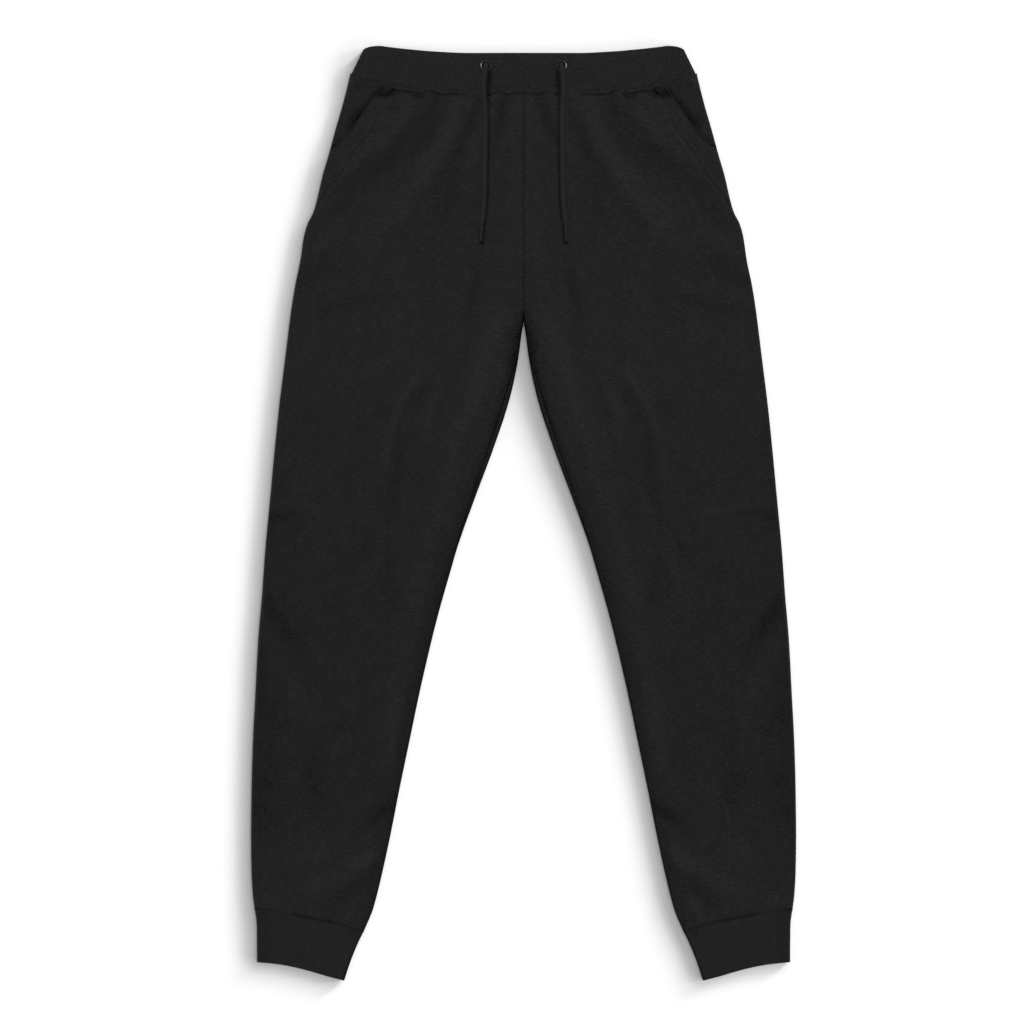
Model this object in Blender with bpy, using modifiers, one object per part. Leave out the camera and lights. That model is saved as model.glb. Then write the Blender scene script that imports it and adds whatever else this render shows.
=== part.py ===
"""Jogger sweatpants laid flat on their back, the front facing up, as separate cut and sewn pieces.

The garment is the same on both halves, so each half is described by two distances: across, out from the centre
front, and down, below the highest corner of the waistband. In the world the waistband is towards +Y, the floor is
z = 0, and left and right are the wearer's, which puts the left leg on the +X side.

Each leg is a flattened tube. Its cross-section is a slot shape with round edges: the back panel is the underside
and the front panel is the top, and they meet at an inseam and a side seam that lie on the edges, or a little way
in over the front where the leg has rolled. Every wall is two faces a cloth's thickness apart, closed by a rim.
"""

import bmesh
import bpy
import numpy as np
from mathutils import Vector

MM = 0.001

# Driving dimensions, in metres
LENGTH = 1.0456  # the waistband's highest corner to the cuffs' lowest corner
CLOTH = 0.0020  # fleece of the legs and the pocket facing
BAND_CLOTH = 0.0030  # folded waistband over its elastic
CUFF_CLOTH = 0.0024  # folded rib
SEAM_GAP = 0.0003  # between two pieces that are sewn together
CROTCH_DOWN = 0.3065  # where the two legs part
CROTCH_TURN = 0.010  # length over which the crotch's edge rolls under
ROW_START = 0.050  # the level at which the rows of a leg start, before they follow the waistband's seam
TOP_SHARE = 0.08  # share of a leg's rows that bend to follow the waistband's seam
EDGE_PATH = 0.014  # stretch of cloth at each edge of a leg that is worked out along the roll
EDGE_BLEND = 0.045  # width over which a leg's height changes from its edge to its middle
FOLD_FADE = 0.016  # width over which folds die out at a leg's edges
FACING_UNDER = 0.010  # how far the pocket facing reaches under the pocket mouth
LAYER_RISE = CLOTH + 0.0004  # what a front panel gains by lying on the facing
LIFT_START = 0.111
LIFT_END = 0.120  # where the front panel is down beside the facing again
BAND_TOP_HALF = 0.1795
BAND_SEAM_HALF = 0.1939
CUFF_HIGH = 0.0060
EYELET_ACROSS = 0.0430
EYELET_DOWN = 0.0211
EYELET_OUTER = 0.00655
EYELET_HOLE = 0.00345
EYELET_HIGH = 0.0014
CORD = 0.0052  # diameter of the drawcord
CORD_POINTS = 24  # points along one free end's tube
TIP = 0.0040  # diameter of a cord tip
TIP_LENGTH = 0.0210


def table(columns, rows):
    """The rows, written in millimetres, as one array in metres for each named column."""
    return {name: np.array(values) * MM for name, values in zip(columns.split(), zip(*rows))}


# Sections of a leg. inner and outer are its edges. The three highs are the height of its top at the inner edge, in
# the middle and at the outer edge. inseam_in and side_in are how far in from the edge the two seams show.
LEG = table(
    "down inner outer inner_high middle_high outer_high inseam_in side_in",
    (
        (33.0, 0.0, 194.3, 7.0, 7.3, 4.9, 0.0, 0.0),
        (64.6, 0.0, 202.2, 7.0, 7.3, 4.9, 0.0, 0.0),
        (91.5, 0.0, 210.0, 6.9, 7.3, 4.9, 0.0, 0.0),
        (112.0, 0.0, 215.6, 6.8, 7.3, 4.9, 0.0, 0.0),
        (121.0, 0.0, 218.0, 6.7, 7.3, 6.6, 0.0, 0.0),
        (145.3, 0.0, 225.1, 6.6, 7.0, 6.5, 0.0, 0.0),
        (172.1, 0.0, 231.3, 6.5, 6.7, 6.2, 0.0, 0.0),
        (185.6, 0.0, 235.2, 6.5, 6.6, 6.0, 0.0, 0.0),
        (199.0, 0.0, 241.9, 6.4, 6.4, 5.9, 0.0, 0.0),
        (212.5, 0.0, 245.8, 6.4, 6.3, 5.8, 0.0, 0.0),
        (239.3, 0.0, 249.8, 6.4, 6.2, 5.7, 0.0, 0.0),
        (266.2, 0.0, 255.4, 6.6, 6.0, 5.6, 0.0, 0.0),
        (293.1, 0.0, 259.8, 7.0, 5.9, 5.6, 0.0, 0.0),
        (306.5, 0.0, 261.6, 7.2, 5.8, 5.6, 0.0, 0.0),
        (320.0, 2.0, 263.3, 7.2, 5.8, 5.6, 0.0, 0.0),
        (346.9, 5.5, 266.6, 7.2, 5.7, 5.5, 0.2, 0.0),
        (373.7, 10.4, 270.0, 7.2, 5.7, 5.5, 4.0, 0.0),
        (400.6, 17.1, 273.3, 7.0, 5.6, 5.5, 5.6, 0.0),
        (454.4, 35.1, 278.9, 6.6, 5.6, 5.5, 4.9, 0.0),
        (508.1, 55.2, 283.9, 6.2, 5.6, 5.4, 3.3, 0.0),
        (561.9, 74.3, 289.0, 5.8, 5.6, 5.4, 0.4, 0.0),
        (588.8, 82.1, 291.0, 5.7, 5.6, 5.4, 0.0, 0.3),
        (615.7, 89.9, 292.9, 5.6, 5.6, 5.4, 0.0, 3.5),
        (642.5, 97.2, 295.3, 5.6, 5.6, 5.4, 0.0, 5.0),
        (669.4, 103.9, 297.4, 5.5, 5.6, 5.4, 0.0, 4.8),
        (723.2, 116.3, 300.2, 5.5, 5.6, 5.4, 0.0, 4.2),
        (776.9, 127.5, 303.0, 5.5, 5.6, 5.4, 0.0, 3.5),
        (830.7, 138.7, 304.6, 5.5, 5.6, 5.4, 0.0, 3.4),
        (884.5, 149.3, 305.2, 5.6, 5.7, 5.5, 0.0, 4.0),
        (924.8, 158.0, 304.6, 5.8, 5.9, 5.6, 0.0, 3.0),
        (951.7, 164.5, 303.0, 6.0, 6.0, 5.9, 0.0, 1.5),
        (967.3, 168.9, 301.2, 6.0, 6.0, 6.0, 0.0, 0.0),
        (992.0, 179.3, 300.9, 6.0, 6.0, 6.0, 0.0, 0.0),
    ),
)

# How far down the inseam side each row of a leg's points lies, close together where the form changes quickly.
ROW_DOWNS = MM * np.array(
    (50, 58, 67, 76, 85, 94, 104, 113, 122, 132, 143, 155, 168, 182, 197, 213, 232, 254, 275, 289, 296.5, 300)
    + (303.5, 306.5, 312, 322, 338, 358, 382, 408, 438, 474, 508, 526, 546, 582, 618, 646, 674, 710, 752, 794)
    + (834, 868, 892, 914, 934, 952, 970, 991.4)
)

LEG_ROWS = ((ROW_DOWNS - ROW_DOWNS[0]) / (ROW_DOWNS[-1] - ROW_DOWNS[0]))[:, None]
FACING_ROWS = 8  # of the rows above, those that reach down to the facing's lower end

# The waistband's top edge and the seam below it, from the centre front out to the side.
BAND_TOP = table(
    "across down",
    ((0, 8.6), (62, 8.6), (100, 6.4), (130, 3.6), (150, 1.4), (162, 0), (170, 0.6), (176, 2.2), (179.5, 4.2)),
)
BAND_SEAM = table(
    "across down",
    ((0, 52.3), (116, 52.3), (132.8, 50.1), (144, 46.7), (156.4, 41.1), (175.4, 37.7), (193.9, 33.8)),
)
# Height of the waistband's top, as a share of the way from its top edge to its seam.
BAND_PROFILE = {"share": (0.0, 0.15, 0.5, 0.85, 1.0), "high": MM * np.array((7.2, 8.0, 8.2, 8.0, 7.8))}

# The seam between leg and cuff, and the cuff's hem, from the leg's inner side out.
CUFF_SEAM = table(
    "across down",
    ((179.3, 991.4), (191, 987.5), (202, 983.2), (214, 980.7), (233, 977.4), (256, 972.8), (284, 967.7), (301, 966.2)),
)
CUFF_HEM = table(
    "across down",
    ((200.8, 1045.6), (219.2, 1040.6), (237.8, 1035.1), (256.3, 1030.4), (273.1, 1027.2), (298.4, 1024.8)),
)
# The cuff's two sides, as a share of the way from its seam to its hem.
CUFF_SIDES = {
    "share": (0.0, 0.3, 0.65, 1.0),
    "inner": MM * np.array((179.3, 187.0, 194.5, 200.8)),
    "outer": MM * np.array((301.0, 298.8, 298.5, 298.4)),
}

# The pocket's slanted mouth, from the waistband's seam to the side.
POCKET_MOUTH = table(
    "across down",
    ((156.4, 41.1), (172.0, 60.1), (188.0, 84.0), (202.3, 104.9), (215.9, 116.1)),
)

# Folds of the front panel: each runs from one place by another to a third, dies out at both ends, and is a soft
# ridge, or a trough where its height is negative. half_width is where it has lost two thirds of its height.
FOLDS = table(
    "from_across from_down by_across by_down to_across to_down half_width height",
    (
        (101.5, 52, 127, 105, 200, 144, 13, -2.0),  # gather from the waistband round to the side seam
        (53, 52, 71, 99, 88, 150, 10, -1.6),  # gather outside the drawcord
        (22, 50, 30, 82, 38, 118, 9, -1.3),  # gather inside the drawcord
        (82, 52, 98, 99, 126, 162, 12, 1.7),  # ridge between the two long gathers
        (127, 50, 143, 84, 163, 108, 12, 1.3),  # ridge beside the pocket
        (38, 52, 50, 94, 61, 134, 10, 1.1),  # ridge under the drawcord
        (158, 40, 184, 80, 204, 108, 10, 2.2),  # pocket mouth standing off the facing
        (110, 366, 143, 452, 164, 590, 11, 1.4),  # long ridge down the thigh
        (128, 372, 160, 456, 180, 580, 11, -0.9),  # trough beside it
        (51, 220, 58, 256, 66, 292, 10, -0.8),  # slant above the crotch
        (252, 286, 217, 276, 180, 266, 11, -0.8),  # slant under the pocket
        (276, 520, 245, 518, 206, 519, 9, -1.1),  # crease in from the side seam
        (244, 534, 190, 528, 146, 526, 11, 0.9),  # ridge below it
        (284, 622, 262, 650, 236, 682, 12, -1.3),  # slant outside the knee
        (234, 786, 230, 822, 226, 860, 12, -1.0),  # hollow of the calf
        (168, 880, 212, 926, 256, 964, 11, 1.5),  # ridge of the fullness over the cuff
        (166, 862, 192, 894, 226, 922, 10, -1.2),  # trough above it
    ),
)
FOLD_STEPS = 14  # points along a fold that distances are taken to

# One free end of the drawcord, from its eyelet to its tip: across and down as above, up above the floor.
CORD_ROUTE = table(
    "across down up",
    (
        (43.0, 20.9, 10.5),
        (43.1, 24.4, 14.4),
        (43.6, 29.6, 16.2),
        (44.2, 36.0, 14.9),
        (44.5, 43.0, 12.6),
        (44.2, 50.5, 11.4),
        (43.4, 59.0, 11.3),
        (42.7, 70.0, 11.4),
        (42.4, 82.0, 11.3),
        (42.5, 96.0, 11.1),
        (42.7, 112.0, 10.8),
        (42.9, 128.0, 10.5),
        (43.1, 144.0, 10.3),
        (43.4, 160.0, 10.2),
        (44.0, 174.0, 10.0),
        (45.0, 186.0, 9.8),
        (46.3, 200.8, 9.6),
    ),
)
TIP_END = MM * np.array((47.4, 222.0, 8.9))  # the tip's far end: across, down, up


def smooth(x, xs, ys):
    """Value at x of the curve through the points (xs, ys), in cubic pieces that overshoot no point."""
    step = np.diff(xs)
    rise = np.diff(ys) / step
    slope = np.concatenate([rise[:1], np.zeros(len(rise) - 1), rise[-1:]])
    agree = rise[:-1] * rise[1:] > 0
    slope[1:-1][agree] = (2 * rise[:-1] * rise[1:] / (rise[:-1] + rise[1:] + ~agree))[agree]
    x = np.clip(x, xs[0], xs[-1])
    i = np.clip(np.searchsorted(xs, x, side="right") - 1, 0, len(step) - 1)
    t = (x - xs[i]) / step[i]
    ends = ys[i] * (1 + 2 * t) * (1 - t) ** 2 + ys[i + 1] * t * t * (3 - 2 * t)
    return ends + step[i] * (slope[i] * t * (1 - t) ** 2 - slope[i + 1] * t * t * (1 - t))


def ease(x):
    """0 below 0, 1 above 1, and an even S between."""
    x = np.clip(x, 0, 1)
    return x * x * (3 - 2 * x)


def leg(column, down):
    return smooth(down, LEG["down"], LEG[column])


def inner_edge(down):
    return np.maximum(leg("inner", down), SEAM_GAP / 2)


def band_seam(across):
    return np.interp(across, BAND_SEAM["across"], BAND_SEAM["down"])


def cuff_seam(across):
    return np.interp(across, CUFF_SEAM["across"], CUFF_SEAM["down"])


def pocket_mouth(down):
    return np.interp(down, POCKET_MOUTH["down"], POCKET_MOUTH["across"])


def front_side_high(down):
    """Height of the front panel at its outer edge, where it lies on the pocket facing and below that."""
    return leg("outer_high", down) + LAYER_RISE * (1 - ease((down - LIFT_START) / (LIFT_END - LIFT_START)))


def folds(across, down):
    """Height that the folds add. Each follows a curve through its three places, and falls away from that curve as
    a bell does."""
    total = np.zeros(np.broadcast(across, down).shape)
    t = np.linspace(0, 1, FOLD_STEPS)[:, None, None]
    for i in range(len(FOLDS["height"])):
        way = {}
        for axis in ("across", "down"):
            start, by, end = (FOLDS[f"{place}_{axis}"][i] for place in ("from", "by", "to"))
            way[axis] = start * (1 - t) * (1 - 2 * t) + by * 4 * t * (1 - t) + end * t * (2 * t - 1)
        distance = np.hypot(across - way["across"], down - way["down"]) / FOLDS["half_width"][i]
        strength = np.exp(-(distance**2)) * np.sin(np.pi * (0.12 + 0.76 * t))
        total += FOLDS["height"][i] * strength.max(axis=0)
    return total


def front_level(across, down):
    """Height of the front panel's upper face away from its edges."""
    from_inner = across - inner_edge(down)
    from_outer = leg("outer", down) - across
    middle = leg("middle_high", down)
    level = middle + (leg("inner_high", down) - middle) * (1 - ease(from_inner / EDGE_BLEND))
    level += (front_side_high(down) - middle) * (1 - ease(from_outer / EDGE_BLEND))
    on_leg = ease(from_outer / FOLD_FADE) * np.where(down > CROTCH_DOWN, ease(from_inner / FOLD_FADE), 1)
    below_band = 0.5 + 0.5 * ease((down - band_seam(across)) / FOLD_FADE)
    return level + folds(across, down) * on_leg * below_band


def roll(along, edge, inward, high, wall):
    """A place round a leg's rolled edge: along the cloth from the outermost point, up over a half circle where it is
    positive and under where it is negative, then straight in. wall is how far inside the outer face it lies."""
    radius = high / 2
    angle = np.clip(along / radius, -np.pi / 2, np.pi / 2)
    straight = np.maximum(np.abs(along) - radius * np.pi / 2, 0)
    across = edge + inward * (radius - (radius - wall) * np.cos(angle) + straight)
    return across, radius + (radius - wall) * np.sin(angle)


def along_roll(inset, high):
    """How far along the roll a place lies that is this far in from the edge, seen from above."""
    radius = high / 2
    turned = radius * np.arccos(1 - np.minimum(inset / radius, 1))
    return turned + np.maximum(inset - radius, 0)


def half_gap(along, high, wall):
    """Half the gap at a seam this far along the roll, wider along the roll for the face inside the bend."""
    radius = high / 2
    return SEAM_GAP / 2 * np.where(along < radius * np.pi / 2, radius / (radius - wall), 1)


def row_down(share, top, bottom):
    """Rows that run evenly down to bottom, the first of them bent to follow top."""
    return ROW_START + (bottom - ROW_START) * share + (top - ROW_START) * (1 - ease(share / TOP_SHARE))


def leg_rows(across):
    """How far down each point of a leg's grid lies, with the first and last row along the two seams."""
    return row_down(LEG_ROWS, band_seam(across[0]) + SEAM_GAP / 2, cuff_seam(across[-1]) - SEAM_GAP / 2)


def crotch_turn(down):
    """0 where the two halves are joined at the centre, 1 where the leg's inner edge rolls under."""
    return ease((down - CROTCH_DOWN + CROTCH_TURN) / CROTCH_TURN)


EDGE_SHARES = np.array((0.0, 0.17, 0.36, 1.0))
MIDDLE_SHARES = np.linspace(0, 1, 13)[1:-1]
BACK_ROLL_SHARES = np.linspace(0, 1, 5)


def front_panel():
    """The front leg panel's outer and inner face: columns run from the centre front or inseam to the pocket mouth or
    side seam, the first and last few along the rolled edges."""
    inner_down = row_down(LEG_ROWS, band_seam(0), cuff_seam(0))
    outer_down = row_down(LEG_ROWS, POCKET_MOUTH["down"][0], cuff_seam(1))
    inner_high = leg("inner_high", inner_down)
    outer_high = front_side_high(outer_down)
    edge = inner_edge(inner_down), leg("outer", outer_down)
    turn = crotch_turn(inner_down)
    inseam = along_roll(leg("inseam_in", inner_down), inner_high)
    inset = np.maximum(edge[1] - pocket_mouth(outer_down), 0) * (outer_down < POCKET_MOUTH["down"][-1])
    side_seam = along_roll(np.maximum(inset, leg("side_in", outer_down)), outer_high)
    faces = []
    for wall in (0, CLOTH):
        first = inseam + half_gap(inseam, inner_high, wall)
        last = side_seam + half_gap(side_seam, outer_high, wall)
        inner_along = first + (EDGE_PATH - first) * EDGE_SHARES
        outer_along = last + EDGE_PATH**2 / (last + EDGE_PATH) * EDGE_SHARES[::-1]
        inner_across, inner_up = roll(inner_along, edge[0], 1, inner_high, wall)
        inner_across = inner_across * turn + (edge[0] + inner_along - first) * (1 - turn)
        outer_across, outer_up = roll(outer_along, edge[1], -1, outer_high, wall)
        between = inner_across[:, -1:] + (outer_across[:, :1] - inner_across[:, -1:]) * MIDDLE_SHARES
        across = np.concatenate([inner_across, between, outer_across], axis=1)
        down = leg_rows(across)
        if wall == 0:
            level = front_level(across, down)
        up = level - wall
        on_roll = inner_along < inner_high * np.pi / 4
        inner_up = np.where(on_roll, inner_up, up[:, : len(EDGE_SHARES)])
        up[:, : len(EDGE_SHARES)] = inner_up * turn + up[:, : len(EDGE_SHARES)] * (1 - turn)
        on_roll = outer_along < outer_high * np.pi / 4
        up[:, -len(EDGE_SHARES) :] = np.where(on_roll, outer_up, up[:, -len(EDGE_SHARES) :])
        faces.append(np.stack([across, down, up], axis=-1))
    return faces


def back_panel():
    """The back leg panel's outer and inner face: flat on the floor, its edges rolled up to the two seams. Between
    the edges it has a column for each bend in the seams at its top and bottom."""
    under_cuff = CUFF_SEAM["across"][1:-1]
    under_band = np.concatenate([[60 * MM], BAND_SEAM["across"][1:-1]])
    inner_down = row_down(LEG_ROWS, band_seam(0), cuff_seam(0))
    outer_down = row_down(LEG_ROWS, band_seam(1), cuff_seam(1))
    inner_high, outer_high = leg("inner_high", inner_down), leg("outer_high", outer_down)
    edge = inner_edge(inner_down), leg("outer", outer_down)
    turn = crotch_turn(inner_down)
    inseam = along_roll(leg("inseam_in", inner_down), inner_high)
    side_seam = along_roll(leg("side_in", outer_down), outer_high)
    faces = []
    for wall in (0, CLOTH):
        first = inseam - half_gap(inseam, inner_high, wall)
        last = side_seam - half_gap(side_seam, outer_high, wall)
        inner_along = first - (first + inner_high * np.pi / 4) * BACK_ROLL_SHARES
        outer_along = (last - (last + outer_high * np.pi / 4) * BACK_ROLL_SHARES)[:, ::-1]
        inner_across, inner_up = roll(inner_along, edge[0], 1, inner_high, wall)
        flat_across = edge[0] + inner_high / 2 * BACK_ROLL_SHARES
        inner_across = inner_across * turn + flat_across * (1 - turn)
        inner_up = inner_up * turn + wall * (1 - turn)
        outer_across, outer_up = roll(outer_along, edge[1], -1, outer_high, wall)
        room = outer_across[:, :1] - inner_across[:, -1:]
        seam_shares = (seam - inner_across[end, -1] for seam, end in zip((under_band, under_cuff), (0, -1)))
        seam_shares = [share / room[end] for share, end in zip(seam_shares, (0, -1))]
        between = inner_across[:, -1:] + room * (seam_shares[0] + (seam_shares[1] - seam_shares[0]) * LEG_ROWS)
        across = np.concatenate([inner_across, between, outer_across], axis=1)
        up = np.concatenate([inner_up, np.full_like(between, wall), outer_up], axis=1)
        faces.append(np.stack([across, leg_rows(across), up], axis=-1))
    return faces


def pocket_facing():
    """The facing's outer and inner face: from a little way under the pocket mouth out to the side seam."""
    outer_down = row_down(LEG_ROWS, band_seam(1), cuff_seam(1))[:FACING_ROWS]
    inner_down = row_down(LEG_ROWS, POCKET_MOUTH["down"][0], cuff_seam(1))[:FACING_ROWS]
    high = leg("outer_high", outer_down)
    faces = []
    for wall in (0, CLOTH):
        last = half_gap(0, high, wall)
        outer_along = last + (EDGE_PATH / 2 - last) * np.linspace(1, 0, 4)
        outer_across, outer_up = roll(outer_along, leg("outer", outer_down), -1, high, wall)
        start = pocket_mouth(inner_down) - FACING_UNDER
        between = start + (outer_across[:, :1] - start) * np.linspace(0, 1, 5)[:-1]
        across = np.concatenate([between, outer_across], axis=1)
        down = row_down(LEG_ROWS, band_seam(across[0]) + SEAM_GAP / 2, cuff_seam(1))[:FACING_ROWS]
        flat_up = np.repeat(high - wall, between.shape[1], axis=1)
        faces.append(np.stack([across, down, np.concatenate([flat_up, outer_up], axis=1)], axis=-1))
    return faces


def band_down(position, share):
    """How far down a place on the waistband is: position is a share of its half width, share runs top to seam."""
    top = smooth(np.abs(position) * BAND_TOP_HALF, BAND_TOP["across"], BAND_TOP["down"])
    return top + (band_seam(np.abs(position) * BAND_SEAM_HALF) - SEAM_GAP / 2 - top) * share


def waistband(front_stations, back_stations):
    """The waistband's outer and inner face, as a flattened loop whose columns run across the front from the right
    side to the left and back under it. Its seam edge has a point wherever the panels that it joins have one."""
    share = np.array(BAND_PROFILE["share"])[:, None]
    high = BAND_PROFILE["high"][:, None]
    half = BAND_TOP_HALF + (BAND_SEAM_HALF - BAND_TOP_HALF) * share
    quarter = np.linspace(-1, 1, 7) * np.pi / 2
    faces = []
    for wall in (0, BAND_CLOTH):
        front = np.concatenate([-front_stations[::-1], [0], front_stations]) / BAND_SEAM_HALF
        back = np.concatenate([-back_stations[::-1], back_stations])[::-1] / BAND_SEAM_HALF
        side = (half - high / 2 + (high / 2 - wall) * np.cos(quarter)) / half
        side_up = high / 2 + (high / 2 - wall) * np.sin(quarter)
        ones = np.ones_like(share)
        position = np.concatenate([ones * front, side[:, ::-1], ones * back, -side], axis=1)
        up = np.concatenate(
            [(high - wall) * np.ones_like(front), side_up[:, ::-1], wall * ones * np.ones_like(back), side_up],
            axis=1,
        )
        faces.append(np.stack([position * half, band_down(position, share), up], axis=-1))
    return faces


def cuff(front_stations, back_stations):
    """The cuff's outer and inner face, as a flattened loop: across the front from its inner to its outer side and
    back under it."""
    share = np.linspace(0, 1, 4)[:, None]
    sides = [np.interp(share, CUFF_SIDES["share"], CUFF_SIDES[side]) for side in ("inner", "outer")]
    quarter = np.linspace(-1, 1, 7) * np.pi / 2
    width = sides[1] - sides[0]
    faces = []
    for wall in (0, CUFF_CLOTH):
        front = (front_stations - sides[0][0]) / width[0] * np.ones_like(share)
        back = (back_stations[::-1] - sides[0][0]) / width[0] * np.ones_like(share)
        side = (CUFF_HIGH / 2 - (CUFF_HIGH / 2 - wall) * np.cos(quarter)) / width
        side_up = (CUFF_HIGH / 2 + (CUFF_HIGH / 2 - wall) * np.sin(quarter)) * np.ones_like(share)
        position = np.concatenate([front, 1 - side[:, ::-1], back, side], axis=1)
        up = np.concatenate(
            [np.full_like(front, CUFF_HIGH - wall), side_up[:, ::-1], np.full_like(back, wall), side_up], axis=1
        )
        across = sides[0] + width * position
        top = cuff_seam(across[0]) + SEAM_GAP / 2
        hem = smooth(across[-1], CUFF_HEM["across"], CUFF_HEM["down"])
        faces.append(np.stack([across, top + (hem - top) * share, up], axis=-1))
    return faces


def world(points, side):
    """World places of points given as across, down and up, on the wearer's left (1) or right (-1)."""
    return np.stack([side * points[..., 0], LENGTH / 2 - points[..., 1], points[..., 2]], axis=-1)


def quads(grid):
    """The four corners of each cell of a grid of point numbers."""
    return np.stack([grid[:-1, :-1], grid[1:, :-1], grid[1:, 1:], grid[:-1, 1:]], axis=-1).reshape(-1, 4)


def add_wall(name, faces, side, material, loop=False):
    """An object whose solid fills the space between two grids of points. A loop closes on itself across its
    columns, and any other wall has a rim along all four of its edges."""
    rows, columns = faces[0].shape[:2]
    points = np.concatenate([world(face, side).reshape(-1, 3) for face in faces])
    outer = np.arange(rows * columns).reshape(rows, columns)
    if loop:
        outer = np.concatenate([outer, outer[:, :1]], axis=1)
    inner = outer + rows * columns
    cells = [quads(outer), quads(inner)[:, ::-1]]
    cells += [quads(np.stack([inner[0], outer[0]])), quads(np.stack([outer[-1], inner[-1]]))]
    if not loop:
        cells += [quads(np.stack([outer[:, 0], inner[:, 0]])), quads(np.stack([inner[:, -1], outer[:, -1]]))]
    mesh = bpy.data.meshes.new(name)
    mesh.from_pydata(points.tolist(), [], np.concatenate(cells).tolist())
    shell = bmesh.new()
    shell.from_mesh(mesh)
    if shell.calc_volume(signed=True) < 0:
        bmesh.ops.reverse_faces(shell, faces=shell.faces)
    shell.to_mesh(mesh)
    shell.free()
    mesh.shade_smooth()
    mesh.set_sharp_from_angle(angle=np.radians(50))
    return add_object(name, mesh, material)


def add_object(name, data, material):
    piece = bpy.data.objects.new(name, data)
    data.materials.append(material)
    garment.objects.link(piece)
    return piece


def adopt(name, material):
    """Names the primitive just added and moves it to the garment's collection."""
    piece = bpy.context.object
    piece.name = name
    piece.data.materials.append(material)
    for collection in list(piece.users_collection):
        collection.objects.unlink(piece)
    garment.objects.link(piece)
    piece.data.shade_smooth()
    return piece


def eyelet(name, side, material):
    """A rolled metal ring, flattened to its real height, lying on the waistband."""
    ring = (EYELET_OUTER - EYELET_HOLE) / 2
    bpy.ops.mesh.primitive_torus_add(
        major_radius=EYELET_HOLE + ring, minor_radius=ring, major_segments=20, minor_segments=8
    )
    share = (EYELET_DOWN - band_down(EYELET_ACROSS / BAND_SEAM_HALF, 0)) / (
        band_down(EYELET_ACROSS / BAND_SEAM_HALF, 1) - band_down(EYELET_ACROSS / BAND_SEAM_HALF, 0)
    )
    band_high = np.interp(share, BAND_PROFILE["share"], BAND_PROFILE["high"])
    piece = adopt(name, material)
    piece.scale.z = EYELET_HIGH / (2 * ring)
    bpy.ops.object.transform_apply(location=False, rotation=False, scale=True)
    centre = np.array((EYELET_ACROSS, EYELET_DOWN, band_high + SEAM_GAP + EYELET_HIGH / 2))
    piece.location = world(centre, side)


def drawcord(name, side, material):
    """The free end of the cord as a round tube, on points read evenly from a smooth curve through its route."""
    route = world(np.stack(list(CORD_ROUTE.values()), axis=-1), side)
    reach = np.concatenate([[0], np.cumsum(np.linalg.norm(np.diff(route, axis=0), axis=1))])
    stops = np.linspace(0, reach[-1], CORD_POINTS)
    points = np.stack([smooth(stops, reach, route[:, axis]) for axis in range(3)], axis=-1)
    curve = bpy.data.curves.new(name, "CURVE")
    curve.dimensions = "3D"
    curve.bevel_depth = CORD / 2
    curve.bevel_resolution = 2
    curve.use_fill_caps = True
    spline = curve.splines.new("POLY")
    spline.points.add(len(points) - 1)
    spline.points.foreach_set("co", np.column_stack([points, np.ones(len(points))]).ravel())
    add_object(name, curve, material)


def cord_tip(name, side, material):
    """A tube crimped on the cord's end, its far edge rounded, lying in line with the cord."""
    start = world(np.array([CORD_ROUTE[axis][-1] for axis in ("across", "down", "up")]), side)
    end = world(TIP_END, side)
    way = (end - start) / np.linalg.norm(end - start)
    bpy.ops.mesh.primitive_cylinder_add(vertices=12, radius=TIP / 2, depth=TIP_LENGTH)
    piece = adopt(name, material)
    piece.location = start + way * (TIP_LENGTH / 2 + SEAM_GAP)
    piece.rotation_mode = "QUATERNION"
    piece.rotation_quaternion = Vector(way).to_track_quat("Z", "Y")
    rounding = piece.modifiers.new("rounded ends", "BEVEL")
    rounding.width = TIP / 8
    rounding.segments = 1


def material_of(name, color, roughness, metallic=0.0):
    material = bpy.data.materials.new(name)
    material.use_nodes = True
    shader = material.node_tree.nodes["Principled BSDF"]
    shader.inputs["Base Color"].default_value = (*color, 1)
    shader.inputs["Roughness"].default_value = roughness
    shader.inputs["Metallic"].default_value = metallic
    return material


def clear_scene():
    for old in list(bpy.data.objects):
        bpy.data.objects.remove(old)


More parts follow.
